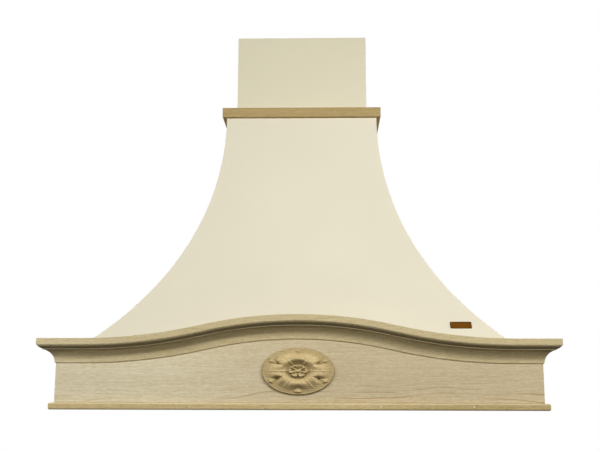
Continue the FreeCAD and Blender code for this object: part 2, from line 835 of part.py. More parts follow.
def volute(grow, front, rear):
    """Inside of the scroll, grown by a wall's thickness, up to the deck."""
    cx, cz = volute_x, volute_z
    r1 = volute_radius + grow
    r2 = r1 + scroll_step
    r3 = r2 + scroll_step
    tongue = (cx + grow, cz + math.sqrt(r1 ** 2 - grow ** 2))
    second = (cx - scroll_step, cz)
    third = (cx - scroll_step, cz + scroll_step)
    left = third[0] - r3
    moves = [
        (tongue,),
        (on_arc((cx, cz), r1, 45), (cx + r1, cz)),
        (on_arc(second, r2, -45), (second[0], cz - r2)),
        (on_arc(third, r3, -135), (left, third[1])),
        ((left, deck_foot),),
    ]
    return prism("XZ", front, rear, (cx + grow, deck_foot), moves)


def boss_places():
    """Screw bosses round the scroll's outside."""
    out = scroll_wall + boss_radius - boss_sink
    left = volute_x - throat_width - out
    return [
        (volute_x + volute_radius + out, volute_z),
        (volute_x - scroll_step, volute_z - volute_radius - scroll_step - out),
        (left, volute_z + scroll_step),
        (left, deck_foot - throat_length / 2),
        (volute_x + out, deck_foot - throat_length / 2),
    ]


def scroll_half(outer, wall_to):
    """One half of the scroll: outer is its closed face, wall_to the plane where that face's sheet ends."""
    split = -duct_offset
    low, high = sorted([outer, split])
    inner_low, inner_high = sorted([wall_to, split])
    ahead = -scroll_flange if outer < split else scroll_flange
    flange_low, flange_high = sorted([outer + ahead, split])
    left = -throat_width / 2 - scroll_wall - scroll_flange
    flange = box(left, -left, flange_low, flange_high, deck_foot - scroll_wall, deck_foot)
    boss_end = boss_length if outer > split else -boss_length
    boss_low, boss_high = sorted([split, split + boss_end])
    bosses = [rod("XZ", boss_radius, x, z, boss_low, boss_high) for x, z in boss_places()]
    half = joined([volute(scroll_wall, low, high), flange] + bosses)
    half = half.cut(volute(0.0, inner_low, inner_high))
    half = half.cut(rod("XZ", inlet_radius, impeller_x, volute_z, low, high))
    for x, z in boss_places():
        half = half.cut(rod("XZ", screw_radius + running_gap, x, z, boss_low, boss_high))
    for x, y in scroll_fixing_places():
        half = half.cut(rod("XY", screw_radius + running_gap, x, y, deck_foot - scroll_wall, deck_foot))
    return half


def scroll_screws():
    """Screws that close the scroll and hang it from the deck."""
    screws = []
    front = -duct_offset - boss_length
    rear = -duct_offset + boss_length
    for x, z in boss_places():
        shank = rod("XZ", screw_radius, x, z, front, rear)
        screws.append(joined([shank, rod("XZ", screw_head_radius, x, z, front - screw_head, front)]))
    head_top = deck_foot - scroll_wall
    for x, y in scroll_fixing_places():
        shank = rod("XY", screw_radius, x, y, head_top, deck_top)
        screws.append(joined([shank, rod("XY", screw_head_radius, x, y, head_top - screw_head, head_top)]))
    return Part.makeCompound(screws)


def impeller():
    """Drum of leaning blades between two end rings, on a middle disc and hub."""
    middle = -duct_offset
    half = impeller_length / 2
    inner = impeller_radius - impeller_ring
    axis = (impeller_x, volute_z)
    shapes = [
        tube("XZ", impeller_radius, inner, *axis, middle - half, middle - half + impeller_end),
        tube("XZ", impeller_radius, inner, *axis, middle + half - impeller_end, middle + half),
        rod("XZ", impeller_radius, *axis, middle - impeller_end / 2, middle + impeller_end / 2),
        rod("XZ", hub_radius, *axis, middle - hub_front, middle + hub_rear),
    ]
    reach = impeller_ring / math.cos(math.radians(blade_lean))
    blade = box(0.0, reach, -half, half, -blade_sheet / 2, blade_sheet / 2)
    blade.rotate(FreeCAD.Vector(0, 0, 0), FreeCAD.Vector(0, 1, 0), blade_lean)
    blade.translate(FreeCAD.Vector(inner, 0, 0))
    blade = blade.common(tube("XZ", impeller_radius, inner, 0.0, 0.0, -half, half))
    for i in range(impeller_blades):
        copy = blade.copy()
        copy.rotate(FreeCAD.Vector(0, 0, 0), FreeCAD.Vector(0, 1, 0), 360 * i / impeller_blades)
        copy.translate(FreeCAD.Vector(impeller_x, middle, volute_z))
        shapes.append(copy)
    drum = shapes[0].multiFuse(shapes[1:])
    return drum.cut(rod("XZ", shaft_radius + running_gap / 2, *axis, middle - half, middle + half))


def motor_shaft():
    """Shaft from the rear bearing to the impeller's nut."""
    front = -duct_offset - hub_front - nut_height - 1.0
    return rod("XZ", shaft_radius, impeller_x, volute_z, front, motor_rear_y - bearing_length / 4)


def impeller_nut():
    """Hexagon nut against the hub's front."""
    rear = -duct_offset - hub_front
    corners = [on_arc((impeller_x, volute_z), nut_radius, 60 * i) for i in range(6)]
    nut = prism("XZ", rear - nut_height, rear, corners[0], [(c,) for c in corners[1:]])
    return nut.cut(rod("XZ", shaft_radius + running_gap / 2, impeller_x, volute_z, rear - nut_height, rear))


def motor_body():
    """Motor can with a bearing seat in each end."""
    axis = (impeller_x, volute_z)
    body = tube("XZ", motor_radius, motor_bore, *axis, motor_front_y, motor_rear_y)
    body = body.cut(rod("XZ", bearing_radius, *axis, motor_front_y, motor_front_y + bearing_length))
    return body.cut(rod("XZ", bearing_radius, *axis, motor_rear_y - bearing_length, motor_rear_y))


def motor_bearings():
    """Two sleeve bearings."""
    axis = (impeller_x, volute_z)
    bore = shaft_radius + running_gap
    rings = [tube("XZ", bearing_radius - running_gap / 2, bore, *axis, low, low + bearing_length)
             for low in (motor_front_y, motor_rear_y - bearing_length)]
    return Part.makeCompound(rings)


def motor_bracket():
    """Spider that carries the motor on the scroll's rear face."""
    axis = (impeller_x, volute_z)
    rear = motor_rear_y + motor_plate
    shapes = [rod("XZ", motor_plate_radius, *axis, motor_rear_y, rear)]
    for i in range(motor_arms):
        turn = 90 + 360 * i / motor_arms
        arm = box(0.0, motor_foot_circle, motor_rear_y, rear, -motor_arm_width / 2, motor_arm_width / 2)
        arm.rotate(FreeCAD.Vector(0, 0, 0), FreeCAD.Vector(0, 1, 0), -turn)
        arm.translate(FreeCAD.Vector(impeller_x, 0, volute_z))
        shapes.append(arm)
        foot = on_arc(axis, motor_foot_circle, turn)
        shapes.append(rod("XZ", motor_foot_radius, *foot, scroll_rear_y, rear))
    spider = joined(shapes)
    return spider.cut(rod("XZ", motor_plate_hole, *axis, motor_rear_y, rear))


def capacitor():
    """Run capacitor with its stud, under the deck."""
    can = rod("XY", capacitor_radius, capacitor_x, -capacitor_offset, deck_foot - capacitor_length, deck_foot)
    return can.makeFillet(2.0, [can.Edges[2]]) if len(can.Edges) > 2 else can


def terminal_box():
    """Hollow box under the deck where the supply cable ends."""
    x0 = terminal_x - terminal_width / 2
    x1 = terminal_x + terminal_width / 2
    y0 = -terminal_offset - terminal_depth / 2
    y1 = -terminal_offset + terminal_depth / 2
    z0 = deck_foot - terminal_height
    w = terminal_wall
    shell = box(x0, x1, y0, y1, z0, deck_foot).cut(box(x0 + w, x1 - w, y0 + w, y1 - w, z0 + w, deck_foot - w))
    return shell.cut(rod("XY", gland_radius + screw_play, *gland_place(), deck_foot - w, deck_foot))


def cable_gland():
    """Gland for the supply cable, from the deck's top into the terminal box."""
    place = gland_place()
    stem = rod("XY", gland_radius, *place, deck_foot - terminal_wall, deck_top + gland_height)
    seat = rod("XY", gland_collar_radius, *place, deck_top, deck_top + gland_collar_height)
    gland = joined([stem, seat])
    return gland.cut(rod("XY", gland_bore, *place, deck_foot - terminal_wall, deck_top + gland_height))


# Underside: panel, filters, lamps and switches

def filter_opening(middle):
    """Opening of one filter, cut through panel and flanges."""
    return box(middle - opening_half, middle + opening_half, opening_front_y, opening_rear_y, -far, far)


def bottom_panel():
    """Sheet that closes the dome, with an upright rim round each filter."""
    edge = rim_half - panel_gap
    plate = box(-edge, edge, -rim_depth + panel_gap, -back_sheet, panel_foot, skirt_foot)
    rims = []
    for middle in (-filter_x, filter_x):
        half = opening_half + panel_sheet
        rims.append(box(middle - half, middle + half, opening_front_y - panel_sheet,
                        opening_rear_y + panel_sheet, panel_foot, panel_foot + opening_flange))
    panel = joined([plate] + rims)
    for middle in (-filter_x, filter_x):
        panel = panel.cut(filter_opening(middle))
        pin_half = opening_half + 2 * panel_sheet
        hole = filter_pin_radius + running_gap
        panel = panel.cut(rod("YZ", hole, filter_pin_y, filter_pin_z, middle - pin_half, middle + pin_half))
        slot_half = latch_width / 2 + latch_play
        slot_low = filter_pin_z - latch_sheet / 2 - latch_play
        slot_high = filter_pin_z + latch_sheet / 2 + latch_play
        panel = panel.cut(box(middle - slot_half, middle + slot_half, opening_front_y - 2 * panel_sheet,
                              opening_front_y, slot_low, slot_high))
    for x in (-lamp_x, lamp_x):
        panel = panel.cut(rod("XY", lamp_hole_radius, x, -lamp_offset, panel_foot, skirt_foot))
    half = switch_width / 2 - switch_wall
    depth = switch_depth / 2 - switch_wall
    panel = panel.cut(box(-half, half, -lamp_offset - depth, -lamp_offset + depth, panel_foot, skirt_foot))
    for x, y in panel_screw_places():
        panel = panel.cut(rod("XY", screw_radius + running_gap, x, y, panel_foot, skirt_foot))
    return panel


def panel_screws():
    """Screws from below, through the panel and the skirt's lips."""
    screws = []
    for x, y in panel_screw_places():
        shank = rod("XY", screw_radius, x, y, panel_foot, skirt_foot + 2 * sheet)
        head = rod("XY", screw_head_radius, x, y, panel_foot - screw_head, panel_foot)
        screws.append(joined([shank, head]))
    return Part.makeCompound(screws)


def filter_frame(middle):
    """Channel frame of one filter, with a pin at each rear corner and a slot for the latch."""
    half = filter_width / 2
    top = panel_foot + filter_thickness
    frame = box(middle - half, middle + half, filter_front_y, filter_rear_y, panel_foot, top)
    inner = half - filter_rail
    window_front = filter_front_y + filter_rail
    window_rear = filter_rear_y - filter_rail
    frame = frame.cut(box(middle - inner, middle + inner, window_front, window_rear, panel_foot, top))
    g = filter_groove
    low = filter_pin_z - mesh_thickness / 2 - latch_play / 2
    high = filter_pin_z + mesh_thickness / 2 + latch_play / 2
    frame = frame.cut(box(middle - inner - g, middle + inner + g, window_front - g, window_rear + g, low, high))
    pin_half = half + filter_gap + panel_sheet
    for side in (-1, 1):
        ends = sorted([middle + side * half, middle + side * pin_half])
        frame = frame.fuse(rod("YZ", filter_pin_radius, filter_pin_y, filter_pin_z, ends[0], ends[1]))
    slot_half = latch_width / 2 + latch_play
    low = filter_pin_z - latch_sheet / 2 - latch_play
    high = filter_pin_z + latch_sheet / 2 + latch_play
    return frame.cut(box(middle - slot_half, middle + slot_half, filter_front_y, window_front, low, high))


def latch_notch():
    """Half width and depth of the mesh's clearing round the latch."""
    return latch_width / 2 + latch_notch_side, latch_tab_gap + latch_sheet + latch_travel + latch_notch_side


def filter_mesh(middle):
    """Pierced aluminium sheet held in the frame's groove, cleared round the latch."""
    reach = filter_groove - filter_gap / 2
    inner = filter_width / 2 - filter_rail
    front = filter_front_y + filter_rail
    rear = filter_rear_y - filter_rail
    low = filter_pin_z - mesh_thickness / 2
    notch_half, notch_depth = latch_notch()
    edge = inner + reach
    moves = [
        (middle - notch_half, front - reach),
        (middle - notch_half, front + notch_depth),
        (middle + notch_half, front + notch_depth),
        (middle + notch_half, front - reach),
        (middle + edge, front - reach),
        (middle + edge, rear + reach),
        (middle - edge, rear + reach),
    ]
    wires = [outline("XY", low, (middle - edge, front - reach), [(p,) for p in moves])]
    pitch_x = 2 * inner / mesh_columns
    pitch_y = (rear - front) / mesh_rows
    half_x = (pitch_x - mesh_strand) / 2
    half_y = (pitch_y - mesh_strand) / 2
    for column in range(mesh_columns):
        x = middle - inner + pitch_x * (column + 0.5)
        for row in range(mesh_rows):
            y = front + pitch_y * (row + 0.5)
            beside_latch = abs(x - middle) < notch_half + pitch_x / 2
            if beside_latch and y < front + notch_depth + pitch_y / 2:
                continue
            corners = [((x, y - half_y),), ((x + half_x, y),), ((x, y + half_y),)]
            wires.append(outline("XY", low, (x - half_x, y), corners))
    face = Part.makeFace(Part.makeCompound(wires), "Part::FaceMakerBullseye")
    return face.extrude(FreeCAD.Vector(0, 0, mesh_thickness))


def filter_latch(middle):
    """Sliding tongue with a finger tab."""
    half = latch_width / 2
    low = filter_pin_z - latch_sheet / 2
    tab_y = filter_front_y + filter_rail + latch_tab_gap
    tongue = box(middle - half, middle + half, filter_front_y - latch_reach, tab_y + latch_sheet, low, low + latch_sheet)
    tab = box(middle - half, middle + half, tab_y, tab_y + latch_sheet, panel_foot - latch_tab, low)
    return joined([tongue, tab])


def lamp_bezel():
    """Ring under the panel with a neck that holds the lens."""
    place = (lamp_x, -lamp_offset)
    neck_radius = lamp_hole_radius - screw_play
    inner = neck_radius - bezel_wall
    ring = rod("XY", bezel_radius, *place, panel_foot - bezel_flange, panel_foot)
    neck = rod("XY", neck_radius, *place, panel_foot, panel_foot + bezel_neck)
    bore = rod("XY", inner - bezel_wall, *place, panel_foot - bezel_flange, panel_foot + bezel_neck)
    seat = rod("XY", inner, *place, panel_foot, panel_foot + bezel_neck)
    return joined([ring, neck]).cut(bore).cut(seat)


def lamp_lens():
    """Frosted disc that lies in the bezel."""
    radius = lamp_hole_radius - screw_play - bezel_wall - screw_play
    return rod("XY", radius, lamp_x, -lamp_offset, panel_foot, panel_foot + lens_thickness)


def can_radius():
    """Outside of the lamp's can."""
    return lamp_hole_radius + can_wall


def lamp_can():
    """Reflector can on the panel, with the lamp socket in its roof."""
    place = (lamp_x, -lamp_offset)
    top = skirt_foot + can_height
    shell = rod("XY", can_radius(), *place, skirt_foot, top)
    shell = shell.cut(rod("XY", can_radius() - can_wall, *place, skirt_foot, top - can_wall))
    socket = rod("XY", socket_radius, *place, top - can_wall - socket_height, top - can_wall)
    return joined([shell, socket])


def lamp_bulb():
    """Capsule bulb below the socket."""
    top = skirt_foot + can_height - can_wall - socket_height
    foot = top - bulb_length + bulb_radius
    capsule = rod("XY", bulb_radius, lamp_x, -lamp_offset, foot, top)
    return joined([capsule, Part.makeSphere(bulb_radius, FreeCAD.Vector(lamp_x, -lamp_offset, foot))])


def slot_half(travel):
    """Half the length of a switch's slot."""
    return (travel + slot_width) / 2


def control_plate():
    """Plate under the panel with a slot for each slider."""
    y = -lamp_offset
    plate = box(-plate_width / 2, plate_width / 2, y - plate_depth / 2, y + plate_depth / 2,
                panel_foot - plate_thickness, panel_foot)
    for middle, travel in ((speed_x, speed_travel), (light_x, light_travel)):
        half = slot_half(travel)
        plate = plate.cut(box(middle - half, middle + half, y - slot_width / 2, y + slot_width / 2,
                              panel_foot - plate_thickness, panel_foot))
    return plate


def switch_housing():
    """Cover over both switches, on the panel's upper face."""
    y = -lamp_offset
    half = switch_width / 2
    depth = switch_depth / 2
    top = skirt_foot + switch_height
    shell = box(-half, half, y - depth, y + depth, skirt_foot, top)
    w = switch_wall
    return shell.cut(box(-half + w, half - w, y - depth + w, y + depth - w, skirt_foot, top - w))


def slider(middle, travel):
    """Knob below the plate, with a stem through its slot, at the left end of the travel."""
    x = middle - travel / 2
    y = -lamp_offset
    knob_top = panel_foot - plate_thickness - seat_gap
    knob = box(x - knob_length / 2, x + knob_length / 2, y - knob_width / 2, y + knob_width / 2,
               knob_top - knob_height, knob_top)
    half = slot_width / 2 - stem_play
    stem = box(x - half, x + half, y - half, y + half, knob_top, panel_foot + stem_height)
    return joined([knob, stem])


def wood_screws():
    """Screws from inside the skirt into the fascia boards."""
    screws = []
    for place, direction in wood_screw_places():
        shank = Part.makeCylinder(wood_screw_radius, sheet + wood_screw_length, place, direction)
        head = Part.makeCylinder(wood_screw_head_radius, wood_screw_head, place, direction * -1)
        screws.append(joined([shank, head]))
    return Part.makeCompound(screws)


def pilot_drilled(board):
    """Fascia board with the screws' pilot holes."""
    for place, direction in wood_screw_places():
        depth = sheet + wood_screw_length + screw_play
        board = board.cut(Part.makeCylinder(wood_screw_radius + running_gap, depth, place, direction))
    return board


def back_rivets():
    """Rivets through the dome's rear lips and the wall plate, flush at the wall."""
    rivets = []
    head_rear = -back_sheet - sheet
    for x, z in rivet_places():
        for side in (-1, 1):
            shank = rod("XZ", rivet_radius, side * x, z, head_rear, 0.0)
            head = rod("XZ", rivet_head_radius, side * x, z, head_rear - rivet_head, head_rear)
            rivets.append(joined([shank, head]))
    return Part.makeCompound(rivets)


def pairs():
    """Pieces that come as a left and a right copy, drawn on the right."""
    return {
        "fascia": pilot_drilled(fascia_side()),
        "crown": crown_side(),
        "base_strip": base_strip(side_run),
        "collar": collar(side_run),
        "dome": dome_side(),
        "filter_frame": filter_frame(filter_x),
        "filter_mesh": filter_mesh(filter_x),
        "filter_latch": filter_latch(filter_x),
        "lamp_bezel": lamp_bezel(),
        "lamp_lens": lamp_lens(),
        "lamp_can": lamp_can(),
        "lamp_bulb": lamp_bulb(),
    }


def singles():
    """Every other piece, by the name of its node."""
    return {
        "fascia_front": pilot_drilled(fascia_front()),
        "crown_front": crown_front(),
        "base_strip_front": base_strip(front_run),
        "collar_front": collar(front_run),
        "rosette": rosette(),
        "dome_front": dome_front(),
        "back_plate": back_plate(),
        "badge_plate": badge_plate(),
        "chimney_guide": chimney_guide(),
        "chimney_cover": chimney_cover(),
        "chimney_bracket": chimney_bracket(),
        "chimney_screws": chimney_screws(),
        "blower_deck": blower_deck(),
        "outlet_collar": outlet_collar(),
        "flap_front": flap(-1),
        "flap_rear": flap(1),
        "scroll_front": scroll_half(scroll_front_y, scroll_front_y + scroll_wall),
        "scroll_rear": scroll_half(scroll_rear_y, scroll_rear_y - scroll_wall),
        "scroll_screws": scroll_screws(),
        "impeller": impeller(),
        "impeller_nut": impeller_nut(),
        "motor_shaft": motor_shaft(),
        "motor_body": motor_body(),
        "motor_bearings": motor_bearings(),
        "motor_bracket": motor_bracket(),
        "capacitor": capacitor(),
        "terminal_box": terminal_box(),
        "cable_gland": cable_gland(),
        "bottom_panel": bottom_panel(),
        "control_plate": control_plate(),
        "switch_housing": switch_housing(),
        "speed_slider": slider(speed_x, speed_travel),
        "light_slider": slider(light_x, light_travel),
        "wood_screws": wood_screws(),
        "panel_screws": panel_screws(),
        "back_rivets": back_rivets(),
    }


def main():
    """Builds every piece and writes one STEP file for each."""
    pieces = singles()
    for name, shape in pairs().items():
        pieces[name + "_right"] = shape
        pieces[name + "_left"] = mirrored(shape)
    os.makedirs("parts", exist_ok=True)
    for name, shape in pieces.items():
        solids = shape.Solids
        print(name, len(solids), "solids", round(shape.Volume), "mm3", "valid" if shape.isValid() else "INVALID")
        body = solids[0] if len(solids) == 1 else Part.makeCompound(solids)
        body.exportStep(os.path.join("parts", name + ".step"))


main()
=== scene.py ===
import math

import bmesh
import bpy
from mathutils import Matrix, Vector


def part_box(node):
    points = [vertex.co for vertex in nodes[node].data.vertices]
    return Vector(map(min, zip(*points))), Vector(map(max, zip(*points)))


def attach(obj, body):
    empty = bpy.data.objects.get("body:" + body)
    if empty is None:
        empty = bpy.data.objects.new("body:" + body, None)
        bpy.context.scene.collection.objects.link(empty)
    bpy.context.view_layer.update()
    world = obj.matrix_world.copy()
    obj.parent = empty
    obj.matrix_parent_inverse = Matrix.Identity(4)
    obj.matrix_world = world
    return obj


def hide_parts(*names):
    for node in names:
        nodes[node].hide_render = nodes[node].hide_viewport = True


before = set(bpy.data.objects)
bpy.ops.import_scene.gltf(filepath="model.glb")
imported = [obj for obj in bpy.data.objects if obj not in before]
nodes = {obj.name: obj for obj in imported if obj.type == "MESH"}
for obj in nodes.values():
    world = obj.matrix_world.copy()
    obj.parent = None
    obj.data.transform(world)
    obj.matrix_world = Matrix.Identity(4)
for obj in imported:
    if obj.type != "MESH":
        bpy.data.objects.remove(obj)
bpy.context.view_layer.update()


# Material helpers

NOISE_LOW = 0.2
NOISE_MIDDLE = 0.5
NOISE_HIGH = 0.8


def linear(red, green, blue):
    """Linear colour of an 8-bit screen colour."""
    def one(value):
        value /= 255
        return value / 12.92 if value <= 0.04045 else ((value + 0.055) / 1.055) ** 2.4
    return (one(red), one(green), one(blue), 1.0)


class Nodes:
    """Short way to build a material's node tree."""

    def __init__(self, name):
        self.material = bpy.data.materials.new(name)
        self.material.use_nodes = True
        self.tree = self.material.node_tree
        self.shader = self.tree.nodes["Principled BSDF"]

    def put(self, socket, value):
        """Sets a socket, or links it when the value is another node's output."""
        if isinstance(value, bpy.types.NodeSocket):
            self.tree.links.new(value, socket)
        else:
            socket.default_value = value

    def add(self, kind, inputs=(), **settings):
        """Adds a node; inputs maps a socket's name or number to a value or an output."""
        node = self.tree.nodes.new(kind)
        for key, value in settings.items():
            setattr(node, key, value)
        for key, value in dict(inputs).items():
            self.put(node.inputs[key], value)
        return node

    def math(self, operation, a, b=0.0, clamp=False):
        """Output of one arithmetic step."""
        node = self.add("ShaderNodeMath", {0: a, 1: b}, operation=operation, use_clamp=clamp)
        return node.outputs[0]

    def noise(self, vector, scale, detail=2.0, roughness=0.5):
        """Noise value from 0 to 1."""
        inputs = {"Vector": vector, "Scale": scale, "Detail": detail, "Roughness": roughness}
        return self.add("ShaderNodeTexNoise", inputs).outputs[0]

    def span(self, value, low, high, to_low=0.0, to_high=1.0):
        """Smooth step of a value between two levels."""
        inputs = {"Value": value, "From Min": low, "From Max": high, "To Min": to_low, "To Max": to_high}
        return self.add("ShaderNodeMapRange", inputs, interpolation_type="SMOOTHSTEP").outputs[0]

    def mix(self, share, a, b, blend="MIX"):
        """Colour between two colours."""
        node = self.add("ShaderNodeMix", {"Factor": share, 6: a, 7: b}, data_type="RGBA", blend_type=blend)
        return node.outputs[2]

    def place(self, scale=(1.0, 1.0, 1.0), shift=(0.0, 0.0, 0.0), turn=(0.0, 0.0, 0.0)):
        """Object coordinates in metres, scaled, shifted and turned."""
        coordinates = self.add("ShaderNodeTexCoord").outputs["Object"]
        inputs = {"Vector": coordinates, "Location": shift, "Rotation": turn, "Scale": scale}
        return self.add("ShaderNodeMapping", inputs).outputs[0]

    def bump(self, height, depth):
        """Normal from a height of that depth in metres."""
        inputs = {"Height": height, "Distance": depth, "Strength": 1.0}
        return self.add("ShaderNodeBump", inputs).outputs[0]

    def upward(self):
        """How far the face looks up: 1 up, 0 sideways, -1 down."""
        normal = self.add("ShaderNodeTexCoord").outputs["Normal"]
        return self.add("ShaderNodeSeparateXYZ", {0: normal}).outputs[2]

    def clouded(self, colour, scale, detail, faint, full):
        """Colour that drifts between two brightnesses in soft clouds."""
        cloud = self.noise(self.place(), scale, detail=detail)
        tone = self.span(cloud, NOISE_LOW, NOISE_HIGH, faint, full)
        grey = self.add("ShaderNodeCombineColor", {0: tone, 1: tone, 2: tone}).outputs[0]
        return self.mix(1.0, colour, grey, "MULTIPLY")

    def finish(self, **sockets):
        """Sets the shader's sockets by name, with _ for a space."""
        for key, value in sockets.items():
            self.put(self.shader.inputs[key.replace("_", " ")], value)
        return self.material


# Wood: fibres along the grain, a few thin growth lines that drift across it, and open pores

# Noise fields: waves a metre along the grain, across it, detail and roughness
STREAK = (13.0, 680.0, 2.0, 0.5)
DASH = (60.0, 800.0, 1.0)
DOT = (170.0, 860.0, 1.0)
FIBRE = (60.0, 1900.0, 2.0, 0.6)
SWAY = (2.4, 6.0, 3.0)
RING_FIELD = (6.0, 40.0)
LINE_FIELD = (14.0, 60.0)
PORE_FIELD = (120.0, 560.0, 1.0)

# Shares of each field in the tone
STREAK_SHARE = 1.0
DASH_SHARE = 0.9
DOT_SHARE = 1.15
RING_SHARE = -0.2
MEAN_TONE = 0.58

# Pitch of the fine rings and height of the sway in metres, and the share of the sway that the rings follow
FINE_RING = 0.0035
SWAY_HEIGHT = 0.1
RING_SWAY = 0.12

# Where in its pitch a ring or a line rises and falls, and the noise levels between which it breaks off
RING_RISE = (0.3, 0.9)
RING_FALL = (1.0, 0.92)
RING_BREAK = (0.35, 0.65)
LINE_RISE = (0.76, 0.93)
LINE_FALL = (1.0, 0.95)
LINE_BREAK = (0.36, 0.6)

# Strength left of the lines above line_top and before line_from, and the share of line_top where they are full
LINE_LEFT_ABOVE = 0.12
LINE_LEFT_BEFORE = 0.3
LINE_FULL = 0.5

# Noise levels between which a pore opens
PORE_LEVEL = (0.67, 0.73)

# Surface
WOOD_RELIEF = 0.00015
FIBRE_RELIEF = 0.5
DASH_RELIEF = 0.6
WOOD_ROUGH = (0.6, 0.8)
WOOD_SHINE = 0.25

# Colours of lines and pores, and of painted shade and painted highlights. Slopes are how far a face looks up,
# depths are y in metres
LINE_BROWN = linear(170, 132, 72)
PORE_BROWN = linear(92, 72, 40)
# Painted shade in narrow hollows and where parts meet
CREVICE_SHADE_BROWN = linear(120, 100, 66)
CREVICE_OPEN = (0.2, 0.75)
CREVICE_SAMPLES = 8
CARVED_CREVICE_SHADE = (0.45, 0.012)
CONTACT_CREVICE_SHADE = (1.0, 0.005)
# Painted shade on faces that look down, and a painted shadow line at the foot behind a lip
DOWN_SHADE_BROWN = (0.42, 0.41, 0.38, 1.0)
FOOT_SHADOW_BROWN = (0.4, 0.36, 0.28, 1.0)
LEDGE_SHADE = (-0.8, -0.98, 1.0)
CARVED_DOWN_SHADE = (-0.05, -0.7, 0.6)
# Painted shade that darkens the carving towards the board, darkest on the rim's foot
CARVED_GROUND_SHADE = ((-0.4782, -0.4755, (0.79, 0.78, 0.75, 1.0)),
                 (-0.4746, -0.4734, (0.3, 0.28, 0.24, 1.0)))
# Painted highlights on faces that look up and on a fillet face
TOP_HIGHLIGHT_PALE = linear(250, 238, 206)
TOP_HIGHLIGHT_SLOPE = (0.05, 0.6)
FILLET_HIGHLIGHT_PALE = linear(222, 202, 158)
FILLET_SLOPE = (-0.5, -0.2)
FILLET_STEP = 0.0006
FILLET_BAND = (0.0004, 0.0002)
LIP_BLEND = 0.001
LIP_LEAN = -0.26
FOOT_DEPTH = 0.0148
GRAIN_TURN = {"X": (0.0, 0.0, 0.0), "Y": (0.0, 0.0, math.radians(90))}


